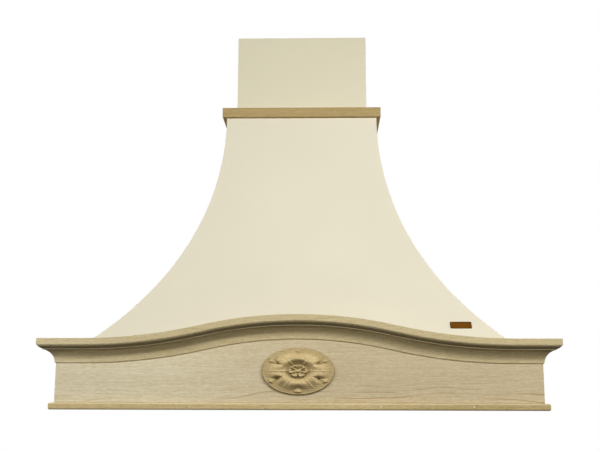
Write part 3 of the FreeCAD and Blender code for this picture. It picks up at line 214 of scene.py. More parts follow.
def wood(name, pale, dark, grain="X", shift=(0.0, 0.0, 0.0), lines=0.3, pitch=0.012, slope=0.1,
         line_top=None, line_from=None, specks=0.0, drift=None, crevice=None, down_shade=None, lip=None,
         top_highlight=0.0, sunk=()):
    """Unfinished wood between two tones.

    Growth lines have a strength, a pitch and a slope, fade above line_top and set in along line_from.
    specks is the strength of open pores. drift is (from, to, tint), a tint that sets in along the grain.
    crevice is (strength, reach) of painted shade that darkens narrow hollows and the board where parts meet
    it.
    down_shade is (slight, full, strength), the slopes between which faces that look down are darkened by
    painted shade, and how much. It sets in sooner in front of lip, where the narrow fillet face gets a painted
    highlight and the foot behind it a painted shadow line. top_highlight is how strongly faces that look up
    are paled by a painted highlight. sunk holds (proud, deep, tint), the depths between which a tint of
    painted shade sets in."""
    n = Nodes(name)
    spot = n.place(turn=GRAIN_TURN[grain], shift=shift)

    def stretched(run, across, detail=2.0, roughness=0.5):
        scaled = n.add("ShaderNodeVectorMath", {0: spot, 1: (run, across, across)}, operation="MULTIPLY")
        return n.noise(scaled.outputs[0], 1.0, detail=detail, roughness=roughness)

    def times(a, b):
        return n.math("MULTIPLY", a, b)

    def swing(value, strength):
        return times(n.math("SUBTRACT", value, NOISE_MIDDLE), strength)

    def sawtooth(level, spacing):
        return n.math("FRACT", n.math("DIVIDE", level, spacing))

    along, depth, height = n.add("ShaderNodeSeparateXYZ", {0: spot}).outputs
    dash = stretched(*DASH)
    fibre = stretched(*FIBRE)
    sway = swing(stretched(*SWAY), SWAY_HEIGHT)
    fine = sawtooth(n.math("ADD", height, times(sway, RING_SWAY)), FINE_RING)
    ring = times(n.span(fine, *RING_RISE), n.span(fine, *RING_FALL))
    ring = times(ring, n.span(stretched(*RING_FIELD), *RING_BREAK))
    coarse = sawtooth(n.math("ADD", height, n.math("SUBTRACT", sway, times(along, slope))), pitch)
    line = times(n.span(coarse, *LINE_RISE), n.span(coarse, *LINE_FALL))
    line = times(line, n.span(stretched(*LINE_FIELD), *LINE_BREAK, 0.0, lines))
    if line_top:
        line = times(line, n.span(height, line_top, line_top * LINE_FULL, LINE_LEFT_ABOVE, 1.0))
    if line_from:
        line = times(line, n.span(along, *line_from, LINE_LEFT_BEFORE, 1.0))
    tone = n.math("ADD", swing(dash, DASH_SHARE), swing(stretched(*STREAK), STREAK_SHARE))
    tone = n.math("ADD", tone, swing(stretched(*DOT), DOT_SHARE))
    tone = n.math("ADD", tone, times(ring, RING_SHARE))
    body = n.mix(n.math("ADD", tone, MEAN_TONE, clamp=True), dark, pale)
    if drift:
        body = n.mix(n.span(along, drift[0], drift[1]), body, drift[2], "MULTIPLY")
    body = n.mix(line, body, LINE_BROWN)
    if specks:
        hole = n.span(stretched(*PORE_FIELD), *PORE_LEVEL, 0.0, specks)
        if lip:
            hole = times(hole, n.span(depth, lip, lip - LIP_BLEND))
        body = n.mix(hole, body, PORE_BROWN)
    # Painted shade: ambient occlusion darkens narrow hollows and the board where parts meet it.
    if crevice:
        strength, reach = crevice
        near = n.add("ShaderNodeAmbientOcclusion", {"Distance": reach}, samples=CREVICE_SAMPLES)
        crevice_shade = n.span(near.outputs["AO"], *CREVICE_OPEN, strength, 0.0)
        body = n.mix(crevice_shade, body, CREVICE_SHADE_BROWN, "MULTIPLY")
    # Painted shade on faces that look down, setting in sooner in front of lip.
    if down_shade:
        slight, full, strength = down_shade
        facing = n.upward()
        if lip:
            # Painted highlight on the fillet face just behind lip.
            aside = n.math("ABSOLUTE", n.math("SUBTRACT", depth, lip - FILLET_STEP))
            fillet_highlight = times(n.span(aside, *FILLET_BAND), n.span(facing, *FILLET_SLOPE))
            body = n.mix(fillet_highlight, body, FILLET_HIGHLIGHT_PALE)
            facing = n.math("ADD", facing, n.span(depth, lip, lip - LIP_BLEND, 0.0, LIP_LEAN))
        shade_share = n.span(facing, slight, full, 0.0, strength)
        if lip:
            # Painted shadow line on the faces that look down at the foot behind lip.
            foot = lip + FOOT_DEPTH
            foot_shadow = times(shade_share, n.span(depth, foot, foot + LIP_BLEND))
            body = n.mix(foot_shadow, body, FOOT_SHADOW_BROWN, "MULTIPLY")
        body = n.mix(shade_share, body, DOWN_SHADE_BROWN, "MULTIPLY")
    # Painted shade: tints that darken the carving by depth towards the board.
    for proud, deep, tint in sunk:
        body = n.mix(n.span(depth, proud, deep), body, tint, "MULTIPLY")
    # Painted highlight on faces that look up.
    if top_highlight:
        body = n.mix(n.span(n.upward(), *TOP_HIGHLIGHT_SLOPE, 0.0, top_highlight), body, TOP_HIGHLIGHT_PALE)
    relief = n.math("ADD", times(fibre, FIBRE_RELIEF), times(dash, DASH_RELIEF))
    rough = n.span(fibre, NOISE_LOW, NOISE_HIGH, *WOOD_ROUGH)
    return n.finish(Base_Color=body, Roughness=rough, Normal=n.bump(relief, WOOD_RELIEF),
                    Specular_IOR_Level=WOOD_SHINE)


# Paint, metal, plastic and glass. Scales are in waves a metre, depths in metres

# Clouds: scale, detail, and the faintest and the fullest tone
PAINT_CLOUD = (5.0, 4.0, 0.975, 1.015)
METAL_CLOUD = (22.0, 4.0, 0.86, 1.06)
PLASTIC_CLOUD = (12.0, 3.0, 0.9, 1.08)

# Roughness below and above the mean
PAINT_GLOSS = (0.04, 0.06)
METAL_GLOSS = (0.08, 0.1)
PLASTIC_GLOSS = (0.06, 0.08)
FROST_GLOSS = 0.12

PEEL_SCALE = 420.0
PEEL_DEPTH = 0.00003
GLOSS_SCALE = 30.0
PAINT_SHINE = 0.3
MARK_SCALE = 260.0
MARK_DEPTH = 0.00002
MARK_LEVELS = (0.25, 0.75)
SPARK_SCALE = 1400.0
SPARK_DEPTH = 0.00004
FROST_SCALE = 2200.0
GLASS_CLEAR = 0.85
GLASS_IOR = 1.45


def paint(name, colour, roughness=0.55):
    """Sprayed paint on sheet: a faint orange peel and slightly uneven gloss."""
    n = Nodes(name)
    spot = n.place()
    body = n.clouded(colour, *PAINT_CLOUD)
    peel = n.noise(spot, PEEL_SCALE, detail=2.0)
    gloss = n.noise(spot, GLOSS_SCALE, detail=3.0)
    rough = n.span(gloss, NOISE_LOW, NOISE_HIGH, roughness - PAINT_GLOSS[0], roughness + PAINT_GLOSS[1])
    return n.finish(Base_Color=body, Roughness=rough, Normal=n.bump(peel, PEEL_DEPTH),
                    Specular_IOR_Level=PAINT_SHINE)


def metal(name, colour, roughness, brushed=(1.0, 1.0, 1.0)):
    """Bare metal with fine marks, drawn out where brushed is uneven."""
    n = Nodes(name)
    marks = n.noise(n.place(scale=brushed), MARK_SCALE, detail=4.0, roughness=0.6)
    body = n.clouded(colour, *METAL_CLOUD)
    rough = n.span(marks, *MARK_LEVELS, roughness - METAL_GLOSS[0], roughness + METAL_GLOSS[1])
    return n.finish(Base_Color=body, Metallic=1.0, Roughness=rough, Normal=n.bump(marks, MARK_DEPTH))


def plastic(name, colour, roughness):
    """Moulded plastic with a fine spark texture."""
    n = Nodes(name)
    grain = n.noise(n.place(), SPARK_SCALE, detail=2.0)
    body = n.clouded(colour, *PLASTIC_CLOUD)
    rough = n.span(grain, NOISE_LOW, NOISE_HIGH, roughness - PLASTIC_GLOSS[0], roughness + PLASTIC_GLOSS[1])
    return n.finish(Base_Color=body, Roughness=rough, Normal=n.bump(grain, SPARK_DEPTH))


def glass(name, colour, roughness, frost):
    """Glass, frosted by a fine bump."""
    n = Nodes(name)
    grain = n.noise(n.place(), FROST_SCALE, detail=2.0)
    rough = n.span(grain, NOISE_LOW, NOISE_HIGH, roughness, roughness + FROST_GLOSS)
    return n.finish(Base_Color=colour, Roughness=rough, Normal=n.bump(grain, frost),
                    Transmission_Weight=GLASS_CLEAR, IOR=GLASS_IOR)


# Materials of the nodes

WOOD_PALE = linear(238, 228, 196)
WOOD_DARK = linear(210, 194, 155)
TAN_PALE = linear(238, 222, 181)
TAN_DARK = linear(203, 183, 137)
TAN_TINT = (0.82, 0.765, 0.70, 1.0)
CROWN_TINT = (0.82, 0.81, 0.75, 1.0)
BROWN_PALE = linear(223, 203, 152)
BROWN_DARK = linear(194, 169, 114)
COLLAR_PALE = linear(186, 164, 115)
COLLAR_DARK = linear(158, 134, 82)
CARVED_PALE = linear(227, 206, 155)
CARVED_DARK = linear(187, 160, 104)
CREAM = linear(228, 221, 198)
# Painted shade: the chimney's cream is the dome's cream made darker and yellower for the upright chimney.
CHIMNEY_SHADED_CREAM = linear(222, 215, 187)
PANEL_CREAM = linear(226, 220, 198)
CROWN_LIP = -0.4905

# The fascia's crevice darkening is painted shade along the crown, the strip and round the carving.
fascia_wood = wood("fascia_wood", WOOD_PALE, WOOD_DARK, lines=0.7, pitch=0.014, slope=0.06, line_top=0.062,
                   line_from=(-0.25, 0.1), drift=(-0.3, 0.08, TAN_TINT), crevice=CONTACT_CREVICE_SHADE)
fascia_side_wood = wood("fascia_side_wood", TAN_PALE, TAN_DARK, "Y", (0.3, 0.1, 0.02), line_top=0.075)
# The crown woods paint shade on faces that look down, a highlight on the fillet and a shadow line at the foot.
crown_wood = wood("crown_wood", TAN_PALE, TAN_DARK, shift=(0.2, 0.0, 0.01), lines=0.2, specks=0.55,
                  drift=(-0.3, -0.02, CROWN_TINT), down_shade=LEDGE_SHADE, lip=CROWN_LIP)
crown_side_wood = wood("crown_side_wood", TAN_PALE, TAN_DARK, "Y", (0.1, 0.2, 0.0), lines=0.2, specks=0.6,
                       down_shade=LEDGE_SHADE)
# The strip's front paints a highlight on faces that look up.
strip_wood = wood("strip_wood", BROWN_PALE, BROWN_DARK, shift=(0.0, 0.0, 0.3), lines=0.15, slope=0.03,
                  specks=0.4, drift=(0.08, 0.3, CROWN_TINT), top_highlight=0.25)
strip_side_wood = wood("strip_side_wood", BROWN_PALE, BROWN_DARK, "Y", (0.2, 0.0, 0.3), lines=0.15,
                       slope=0.03)
collar_wood = wood("collar_wood", COLLAR_PALE, COLLAR_DARK, shift=(0.0, 0.2, 0.1), lines=0.45, pitch=0.012,
                   slope=0.2)
collar_side_wood = wood("collar_side_wood", COLLAR_PALE, COLLAR_DARK, "Y", (0.1, 0.2, 0.1), pitch=0.02)
# The carving paints shade in hollows, on faces that look down and towards the board.
carved_wood = wood("carved_wood", CARVED_PALE, CARVED_DARK, shift=(0.1, 0.0, 0.2), lines=0.15,
                   crevice=CARVED_CREVICE_SHADE, down_shade=CARVED_DOWN_SHADE, sunk=CARVED_GROUND_SHADE)
cream = paint("cream_paint", CREAM)
chimney_shaded_cream = paint("chimney_paint", CHIMNEY_SHADED_CREAM)
panel_cream = paint("panel_paint", PANEL_CREAM, 0.42)
zinc = metal("zinc_sheet", (0.50, 0.51, 0.52, 1.0), 0.42)
aluminium = metal("aluminium", (0.6, 0.61, 0.62, 1.0), 0.33, (1.0, 14.0, 1.0))
mesh_metal = metal("mesh_aluminium", (0.66, 0.67, 0.68, 1.0), 0.4)
bright = metal("bright_trim", (0.68, 0.69, 0.71, 1.0), 0.16)
mirror = metal("reflector", (0.86, 0.86, 0.87, 1.0), 0.14)
steel = metal("fastener_steel", (0.58, 0.58, 0.56, 1.0), 0.34)
bronze = metal("badge_bronze", linear(95, 58, 8), 0.42, (1.0, 1.0, 12.0))
bronze_dark = metal("badge_border", linear(74, 44, 10), 0.42)
filler = plastic("pin_filler", linear(240, 234, 218), 0.6)
grey_plastic = plastic("grey_plastic", (0.2, 0.21, 0.22, 1.0), 0.46)
black_plastic = plastic("black_plastic", (0.026, 0.026, 0.028, 1.0), 0.42)
motor_paint = paint("motor_paint", (0.06, 0.065, 0.07, 1.0), 0.4)
frosted = glass("frosted_glass", (0.93, 0.94, 0.93, 1.0), 0.4, 0.00002)
clear = glass("bulb_glass", (0.97, 0.97, 0.95, 1.0), 0.06, 0.000002)

LOOKS = {
    fascia_wood: ["fascia_front"],
    fascia_side_wood: ["fascia_left", "fascia_right"],
    crown_wood: ["crown_front"],
    crown_side_wood: ["crown_left", "crown_right"],
    strip_wood: ["base_strip_front"],
    strip_side_wood: ["base_strip_left", "base_strip_right"],
    collar_wood: ["collar_front"],
    collar_side_wood: ["collar_left", "collar_right"],
    carved_wood: ["rosette"],
    cream: ["dome_front", "dome_left", "dome_right"],
    chimney_shaded_cream: ["chimney_cover", "chimney_guide"],
    panel_cream: ["bottom_panel", "control_plate"],
    zinc: ["back_plate", "blower_deck", "chimney_bracket", "motor_bracket"],
    aluminium: ["filter_frame_left", "filter_frame_right", "capacitor"],
    mesh_metal: ["filter_mesh_left", "filter_mesh_right"],
    bright: ["lamp_bezel_left", "lamp_bezel_right", "motor_shaft", "impeller_nut", "motor_bearings"],
    mirror: ["lamp_can_left", "lamp_can_right"],
    steel: ["chimney_screws", "scroll_screws", "wood_screws", "panel_screws", "back_rivets"],
    bronze: ["badge_plate"],
    grey_plastic: ["scroll_front", "scroll_rear", "outlet_collar", "flap_front", "flap_rear", "impeller"],
    black_plastic: ["terminal_box", "cable_gland", "switch_housing", "speed_slider", "light_slider",
                    "filter_latch_left", "filter_latch_right"],
    motor_paint: ["motor_body"],
    frosted: ["lamp_lens_left", "lamp_lens_right"],
    clear: ["lamp_bulb_left", "lamp_bulb_right"],
}
for look, names in LOOKS.items():
    for name in names:
        slots = nodes[name].data.materials
        slots.clear()
        slots.append(look)


# Pieces that Blender adds

CREASE_ANGLE = math.radians(38)


def piece(name, mesh, looks, body, stands_for=None):
    """Puts a mesh in the scene on a CAD body, in place of a CAD node where one is named."""
    thing = bpy.data.objects.new(name, mesh)
    bpy.context.collection.objects.link(thing)
    for look in looks:
        mesh.materials.append(look)
    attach(thing, body)
    if stands_for:
        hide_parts(stands_for)
    return thing


def shaded(mesh, crease=CREASE_ANGLE):
    """Smooth shading, with the edges that turn more than the crease kept sharp."""
    work = bmesh.new()
    work.from_mesh(mesh)
    bmesh.ops.recalc_face_normals(work, faces=work.faces)
    for face in work.faces:
        face.smooth = True
    for edge in work.edges:
        edge.smooth = len(edge.link_faces) == 2 and edge.calc_face_angle(0.0) < crease
    work.to_mesh(mesh)
    work.free()
    return mesh


def step(value, low, high):
    """Smooth step from 0 at low to 1 at high."""
    share = min(1.0, max(0.0, (value - low) / (high - low)))
    return share * share * (3 - 2 * share)


def hill(value, middle, width):
    """Smooth bump of height 1."""
    return math.exp(-((value - middle) / width) ** 2)


# Carved oval flower

# Heights are millimetres above the board, and a radius is a share of the oval's.
# Across runs from 0 on a petal's middle to 1 between two petals. A pair is where a step starts and ends.
PETALS = 6
PLATE = 3.6
MEAN_RADIUS = 51.0
FLOWER_RINGS = 104
FLOWER_SPOKES = 288
FLOWER_CREASE = math.radians(60)
RIM_ROUND = 0.025
RIM_DROP = 1.4

# Large petals
PETAL_RISE = 8.0
PETAL_EDGE = 0.91
PETAL_BOW = 0.14
PETAL_FOOT = (0.27, 0.53)
PETAL_FALL = 0.94
PETAL_END = 0.018
DISH = 0.34
DISH_START = (0.32, 0.56)
LOBE = 0.55
LOBE_SIDE = (0.5, 1.0)
LOBE_START = (0.46, 0.68)
RIB = 1.3
RIB_WIDTH = 1.4
RIB_START = (0.27, 0.34)
RIB_END = (0.7, 0.88)
CREASE = 3.6
CREASE_WIDTH = 0.14
CREASE_START = (0.42, 0.66)
CREASE_DEEPEST = 1.4

# Leaf tips between them
SEPAL_RISE = 3.4
SEPAL_SUNK = 1.0
SEPAL_WIDTH = 0.14
SEPAL_START = 0.64
SEPAL_WIDEST = 0.23
SEPAL_TIP = 0.95
SEPAL_TAPER = 0.08
SEPAL_CLIMB_START = 0.6
SEPAL_CLIMB = 0.27
SEPAL_DROP = 0.05
SEPAL_RIDGE = 0.75
SEPAL_LIFT = 0.8
SEPAL_LIFT_SWING = 0.35

# Small flower in the middle; a hill is its middle and its width
FLORET_BASE = 6.3
FLORET_CUP = 3.5
FLORET_EDGE = 0.262
FLORET_BOW = 0.06
FLORET_END = (0.97, 1.08)
FLORET_RIM = (0.9, 0.2)
FLORET_SIDE = (0.72, 0.17)
FLORET_SIDE_START = (0.35, 0.7)
FLORET_GAP = 4.5
FLORET_GAP_HILL = (1.0, 0.14)
FLORET_GAP_START = (0.3, 0.6)
BUTTON = 3.4
BUTTON_RADIUS = 0.075


def petal_height(radius, across, cut):
    """Large petals: dished at the middle, two lobes each, a fine rib, a crease to the next petal."""
    edge = PETAL_EDGE - PETAL_BOW * across ** 2
    swell = step(radius, *PETAL_FOOT) * (1 - PETAL_FALL * step(radius, PETAL_FOOT[1], edge))
    dip = DISH * step(radius, *DISH_START) * (1 - across) ** 2
    lobes = 1 - dip - LOBE * cut * step(across, *LOBE_SIDE) * step(radius, *LOBE_START)
    aside = radius * math.radians(across * 180 / PETALS) * MEAN_RADIUS
    rib = RIB * hill(aside, 0.0, RIB_WIDTH) * step(radius, *RIB_START) * (1 - step(radius, *RIB_END))
    crease = CREASE * cut * hill(across, 1.0, CREASE_WIDTH) * step(radius, *CREASE_START)
    height = max(PLATE + PETAL_RISE * swell * lobes + rib - crease, PLATE - CREASE_DEEPEST)
    return PLATE + (height - PLATE) * (1 - step(radius, edge, edge + PETAL_END))


def sepal_height(radius, across, lift):
    """Pointed leaf tips that rise outwards between the petals' ends."""
    width = SEPAL_WIDTH * min((radius - SEPAL_START) / SEPAL_WIDEST, (SEPAL_TIP - radius) / SEPAL_TAPER)
    aside = radius * math.radians((1 - across) * 180 / PETALS)
    if width <= aside:
        return 0.0
    rise = min(1.0, (radius - SEPAL_CLIMB_START) / SEPAL_CLIMB, (SEPAL_TIP - radius) / SEPAL_DROP)
    ridge = 1 - SEPAL_RIDGE * aside / width
    return PLATE - SEPAL_SUNK + (SEPAL_RISE * lift + SEPAL_SUNK) * rise * ridge


def floret_height(radius, across):
    """Small cupped flower in the middle: thin rims round hollow petals, dark gaps and a button."""
    edge = FLORET_EDGE - FLORET_BOW * across ** 2
    out = radius / edge
    rim = max(hill(out, *FLORET_RIM), hill(across, *FLORET_SIDE) * step(out, *FLORET_SIDE_START))
    cup = FLORET_BASE + FLORET_CUP * rim
    cup -= FLORET_GAP * hill(across, *FLORET_GAP_HILL) * step(out, *FLORET_GAP_START)
    button = BUTTON * math.sqrt(max(0.0, 1 - (radius / BUTTON_RADIUS) ** 2))
    return (cup + button) * (1 - step(out, *FLORET_END))


def flower_height(radius, angle):
    """Height of the carving at a share of the oval's radius and an angle."""
    sector = 360 / PETALS
    across = abs((math.degrees(angle) + sector / 2) % sector - sector / 2) / (sector / 2)
    cut = min(1.0, (math.cos(angle) / math.cos(math.pi / PETALS)) ** 2)
    lift = SEPAL_LIFT - SEPAL_LIFT_SWING * math.sin(angle)
    height = max(petal_height(radius, across, cut), sepal_height(radius, across, lift),
                 floret_height(radius, across))
    inward = max(0.0, 1 - (1 - radius) / RIM_ROUND)
    return height - (1 - math.sqrt(max(0.0, 1 - inward ** 2))) * RIM_DROP


def carved_flower():
    """Closed mesh of the flower: a polar grid in front, a rim and a flat back."""
    low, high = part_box("rosette")
    middle = (low + high) / 2
    half_x = (high.x - low.x) / 2
    half_z = (high.z - low.z) / 2

    def spot(radius, angle, height):
        return (middle.x + half_x * radius * math.cos(angle), high.y - height,
                middle.z + half_z * radius * math.sin(angle))

    angles = [2 * math.pi * spoke / FLOWER_SPOKES for spoke in range(FLOWER_SPOKES)]
    points = [spot(0.0, 0.0, flower_height(0.0, 0.0) / 1000)]
    for ring in range(1, FLOWER_RINGS + 1):
        radius = ring / FLOWER_RINGS
        for angle in angles:
            points.append(spot(radius, angle, flower_height(radius, angle) / 1000))
    back = len(points)
    points.extend(spot(1.0, angle, 0.0) for angle in angles)
    after = [(spoke + 1) % FLOWER_SPOKES for spoke in range(FLOWER_SPOKES)]
    faces = [(0, 1 + spoke, 1 + after[spoke]) for spoke in range(FLOWER_SPOKES)]
    for ring in range(FLOWER_RINGS):
        inner = 1 + ring * FLOWER_SPOKES
        outer = inner + FLOWER_SPOKES
        for spoke in range(FLOWER_SPOKES):
            faces.append((inner + spoke, outer + spoke, outer + after[spoke], inner + after[spoke]))
    faces.append(tuple(range(back, back + FLOWER_SPOKES)))
    mesh = bpy.data.meshes.new("carved_flower")
    mesh.from_pydata(points, [], faces)
    return shaded(mesh, FLOWER_CREASE)


piece("carved_flower", carved_flower(), [carved_wood], "hood", "rosette")


# Blank badge: a thin plate with rounded corners, a raised border and a sunk field, bent to the dome

DOME_NECK_DEPTH = 0.267
DOME_TOP = 0.5888
DOME_RIM = 0.0998
DOME_RIM_DEPTH = 0.451
BADGE_HEIGHT = 0.0156
BADGE_TRIM = 0.00005
BADGE_GAP = 0.0003
BADGE_THICKNESS = 0.0008
BADGE_CORNER = 0.0016
BADGE_CORNER_LEAST = 0.0004
BADGE_CORNER_STEPS = 6
BADGE_BORDER = 0.0011

# From the back up the side and over the border: inset, and height as a share of the thickness
BADGE_LEVELS = ((0.0, 0.0), (0.0, 0.75), (0.00025, 1.0), (BADGE_BORDER, 1.0), (BADGE_BORDER + 0.0003, 0.55))


def rounded_ring(half_x, half_z, corner, count):
    """Points round a rectangle with rounded corners."""
    ring = []
    for turn, (sign_x, sign_z) in enumerate(((1, 1), (-1, 1), (-1, -1), (1, -1))):
        for i in range(count + 1):
            angle = math.pi / 2 * (turn + i / count)
            ring.append((sign_x * (half_x - corner) + corner * math.cos(angle),
                         sign_z * (half_z - corner) + corner * math.sin(angle)))
    return ring


def badge():
    """The badge's closed mesh; its border and its field take two materials."""
    low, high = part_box("badge_plate")
    half_x = (high.x - low.x) / 2
    half_z = BADGE_HEIGHT / 2 - BADGE_TRIM
    middle_x = (high.x + low.x) / 2
    middle_z = (high.z + low.z) / 2
    drop = DOME_TOP - DOME_RIM
    radius = drop / math.sin(2 * math.atan((DOME_RIM_DEPTH - DOME_NECK_DEPTH) / drop))
    centre_y = -DOME_NECK_DEPTH - radius
    middle = math.asin((DOME_TOP - middle_z) / radius)

    def bent(x, along, proud):
        angle = middle - along / radius
        reach = radius - BADGE_GAP - proud
        return (middle_x + x, centre_y + reach * math.cos(angle), DOME_TOP - reach * math.sin(angle))

    points = []
    for inset, level in BADGE_LEVELS:
        corner = max(BADGE_CORNER_LEAST, BADGE_CORNER - inset)
        for x, along in rounded_ring(half_x - inset, half_z - inset, corner, BADGE_CORNER_STEPS):
            points.append(bent(x, along, level * BADGE_THICKNESS))
    count = len(points) // len(BADGE_LEVELS)
    faces = []
    for level in range(len(BADGE_LEVELS) - 1):
        start = level * count
        for i in range(count):
            after = (i + 1) % count
            faces.append((start + i, start + after, start + count + after, start + count + i))
    field = len(faces)
    faces.append(tuple(range(len(points) - count, len(points))))
    faces.append(tuple(range(count)))
    mesh = bpy.data.meshes.new("badge")
    mesh.from_pydata(points, [], faces)
    mesh.polygons[field].material_index = 1
    return shaded(mesh)


piece("badge", badge(), [bronze_dark, bronze], "hood", "badge_plate")


# Pin heads in the base strip

PIN_PLACES = (0.142, 0.300)
PIN_LIFT = 0.0002
PIN_SIDES = 14

# Radius and height, from the head's middle out and back to the axis
PIN_HEAD = ((0.0, 0.00022), (0.0007, 0.0002), (0.0012, 0.00006), (0.00125, -0.0004), (0.0, -0.0005))


def lathed(work, place, outwards, profile, count):
    """Adds a turned closed form: profile is (radius, height) pairs from the axis out and round."""
    axis = Vector(outwards)
    side = axis.orthogonal().normalized()
    other = axis.cross(side)
    rings = []
    for radius, height in profile:
        middle = Vector(place) + axis * height
        if radius == 0:
            rings.append([work.verts.new(middle)])
            continue
        ring = []
        for i in range(count):
            angle = 2 * math.pi * i / count
            ring.append(work.verts.new(middle + (side * math.cos(angle) + other * math.sin(angle)) * radius))
        rings.append(ring)
    for inner, outer in zip(rings, rings[1:]):
        for i in range(count):
            after = (i + 1) % count
            corners = [inner[i % len(inner)], outer[i % len(outer)],
                       outer[after % len(outer)], inner[after % len(inner)]]
            work.faces.new(list(dict.fromkeys(corners)))


def strip_pins():
    """Heads of the pins that hold the base strip, filled over pale."""
    low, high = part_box("base_strip_front")
    level = (low.z + high.z) / 2 + PIN_LIFT
    work = bmesh.new()
    for x in PIN_PLACES:
        lathed(work, (x, low.y, level), (0, -1, 0), PIN_HEAD, PIN_SIDES)
    mesh = bpy.data.meshes.new("strip_pins")
    work.to_mesh(mesh)
    work.free()
    return shaded(mesh)


piece("strip_pins", strip_pins(), [filler], "hood")


# Grease filters: layers of expanded aluminium, cleared round the latch

NOTCH_HALF = 0.022
NOTCH_START = 0.0045
NOTCH_DEPTH = 0.016
NOTCH_ROOM = 0.001
CELL_X = 0.0125
CELL_Y = 0.0075
SHEET_EDGE = 0.0006
STRAND = 0.0011
STRAND_LEAN = 0.0003
LAYER_STEP = 0.00135

# Lift of each layer and its cell; the middle one lies across the other two
LAYERS = ((-LAYER_STEP, CELL_X, CELL_Y), (0.0, CELL_Y, CELL_X), (LAYER_STEP, CELL_X, CELL_Y))


def expanded_sheet(side):
    """Diamond lattice of one filter, in three layers that lie across each other."""
    low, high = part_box("filter_mesh_" + side)
    middle_x = (low.x + high.x) / 2
    middle_z = (low.z + high.z) / 2
    points = []
    faces = []
    for lift, cell_x, cell_y in LAYERS:
        columns = int((high.x - low.x - 2 * SHEET_EDGE) / cell_x)
        rows = int((high.y - low.y - 2 * SHEET_EDGE) / cell_y)
        pitch_x = (high.x - low.x - 2 * SHEET_EDGE) / columns
        pitch_y = (high.y - low.y - 2 * SHEET_EDGE) / rows
        notch_half = NOTCH_HALF + pitch_x / 2 + NOTCH_ROOM
        notch_end = low.y + NOTCH_START + NOTCH_DEPTH + pitch_y / 2 + NOTCH_ROOM
        index = {}

        def spot(i, j):
            """Place at half cells; the strands lean as they do in expanded sheet."""
            lean = STRAND_LEAN if j % 2 else -STRAND_LEAN
            x = low.x + SHEET_EDGE + i * pitch_x / 2
            y = low.y + SHEET_EDGE + j * pitch_y / 2
            return (x, y, middle_z + lift + lean)

        def corner(i, j):
            """Number of a lattice point, which is added when it is first asked for."""
            if (i, j) not in index:
                index[(i, j)] = len(points)
                points.append(spot(i, j))
            return index[(i, j)]

        for i in range(1, 2 * columns):
            for j in range(1, 2 * rows):
                if (i + j) % 2:
                    continue
                x, y, _ = spot(i, j)
                if abs(x - middle_x) < notch_half and y < notch_end:
                    continue
                faces.append((corner(i - 1, j), corner(i, j - 1), corner(i + 1, j), corner(i, j + 1)))
    mesh = bpy.data.meshes.new("expanded_" + side)
    mesh.from_pydata(points, [], faces)
    thing = piece("filter_lattice_" + side, mesh, [mesh_metal], "filter_" + side,
                  "filter_mesh_" + side)
    wire = thing.modifiers.new("strands", "WIREFRAME")
    wire.thickness = STRAND
    wire.use_replace = True
    wire.use_even_offset = False
    wire.use_boundary = True


for side_name in ("left", "right"):
    expanded_sheet(side_name)


# Stage, light and camera

WHITE = (1.0, 1.0, 1.0, 1.0)
AMBIENT = 0.0


def area_light(name, size, power, place, target, mirrored=True):
    """Soft light of a width and a height, aimed at a point. The camera does not see it, nor do bright metals
    where mirrored is off."""
    data = bpy.data.lights.new(name, "AREA")
    data.shape = "RECTANGLE"
    data.size, data.size_y = size
    data.energy = power
    light = bpy.data.objects.new(name, data)
    bpy.context.collection.objects.link(light)
    light.location = place
    light.rotation_euler = (Vector(target) - Vector(place)).to_track_quat("-Z", "Y").to_euler()
    light.visible_camera = False
    light.visible_glossy = mirrored


def looked_at(tree):
    """Output that is 1 where the camera, a reflection or glass looks straight at a surface, and else 0."""
    path = tree.nodes.new("ShaderNodeLightPath").outputs
    seen = path["Is Camera Ray"]
    for ray in ("Is Glossy Ray", "Is Transmission Ray"):
        either = tree.nodes.new("ShaderNodeMath")
        either.operation = "MAXIMUM"
        tree.links.new(seen, either.inputs[0])
        tree.links.new(path[ray], either.inputs[1])
        seen = either.outputs[0]
    return seen


world = bpy.data.worlds.new("studio")
bpy.context.scene.world = world
world.use_nodes = True
sky = world.node_tree
lit = sky.nodes["Background"]
lit.inputs[0].default_value = WHITE
lit.inputs[1].default_value = AMBIENT
white = sky.nodes.new("ShaderNodeBackground")
white.inputs[0].default_value = WHITE
white.inputs[1].default_value = 1.0
shown = sky.nodes.new("ShaderNodeMixShader")
sky.links.new(looked_at(sky), shown.inputs[0])
sky.links.new(lit.outputs[0], shown.inputs[1])
sky.links.new(white.outputs[0], shown.inputs[2])
sky.links.new(shown.outputs[0], sky.nodes["World Output"].inputs[0])

# Width and height in metres, power in watts, place and aim
TARGET = (0.0, -0.4, 0.25)
UNDER_TARGET = (0.0, -0.2, 0.1)
area_light("strip", (1.8, 0.06), 9.4, (0.14, -1.24, 0.72), TARGET)
area_light("front_left", (0.6, 0.6), 13.9, (-1.9, -1.7, 0.6), TARGET)
area_light("front_right", (0.6, 0.6), 14.9, (1.9, -1.7, 0.6), TARGET)
area_light("top", (1.4, 1.4), 5.7, (0.15, -0.45, 2.9), TARGET)
area_light("low", (1.6, 0.5), 1.6, (0.35, -1.7, -0.7), TARGET)
area_light("back", (1.5, 1.5), 20.0, (0.3, 2.0, 1.3), TARGET, False)
area_light("under", (1.6, 1.6), 9.0, (0.0, 0.75, -1.0), UNDER_TARGET, False)
area_light("side_left", (0.9, 0.9), 8.0, (-2.2, 0.4, -0.1), TARGET, False)
area_light("side_right", (0.9, 0.9), 8.0, (2.2, 0.4, -0.1), TARGET, False)

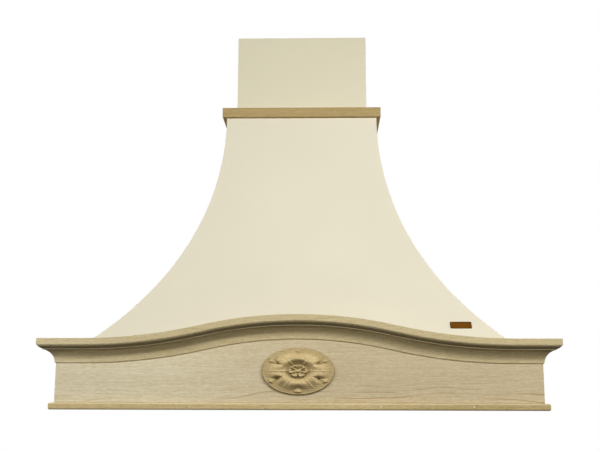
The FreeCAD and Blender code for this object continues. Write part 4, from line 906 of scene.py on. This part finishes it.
# Floor, far below the part: pale to the eye, and nearly black to the light that would bounce off it
FLOOR_Z = -3.6
FLOOR_HALF = 40.0
FLOOR_DARK = (0.02, 0.02, 0.02, 1.0)
FLOOR_PALE = (0.3, 0.3, 0.3, 1.0)
FLOOR_GLOW = 0.74
FLOOR_ROUGH = 0.9
floor_mesh = bpy.data.meshes.new("floor")
corners = [(x * FLOOR_HALF, y * FLOOR_HALF, FLOOR_Z) for x, y in ((-1, -1), (1, -1), (1, 1), (-1, 1))]
floor_mesh.from_pydata(corners, [], [(0, 1, 2, 3)])
floor = bpy.data.objects.new("floor", floor_mesh)
bpy.context.collection.objects.link(floor)
floor_look = Nodes("floor")
floor_seen = looked_at(floor_look.tree)
floor_tone = floor_look.mix(floor_seen, FLOOR_DARK, FLOOR_PALE)
floor_glow = floor_look.math("MULTIPLY", floor_seen, FLOOR_GLOW)
floor_look.finish(Base_Color=floor_tone, Roughness=FLOOR_ROUGH, Specular_IOR_Level=0.0,
                  Emission_Color=WHITE, Emission_Strength=floor_glow)
floor_mesh.materials.append(floor_look.material)

# Camera, as fitted to the photograph's edges
PHOTO_WIDTH = 600
FOCAL_PIXELS = 952.8
SENSOR_WIDTH = 36.0
CAMERA_PLACE = (0.0440, -2.1342, 0.0028)
PITCH = math.radians(10.906)
YAW = math.radians(1.426)
ROLL = math.radians(0.173)
camera_data = bpy.data.cameras.new("camera")
camera_data.sensor_fit = "HORIZONTAL"
camera_data.sensor_width = SENSOR_WIDTH
camera_data.lens = FOCAL_PIXELS * SENSOR_WIDTH / PHOTO_WIDTH
camera = bpy.data.objects.new("camera", camera_data)
bpy.context.collection.objects.link(camera)
heading = Matrix.Rotation(YAW, 4, "Z")
tilt = Matrix.Rotation(math.radians(90) + PITCH, 4, "X")
roll = Matrix.Rotation(ROLL, 4, "Z")
camera.matrix_world = Matrix.Translation(CAMERA_PLACE) @ (heading @ tilt @ roll)
bpy.context.scene.camera = camera
bpy.context.scene.view_settings.view_transform = "Standard"
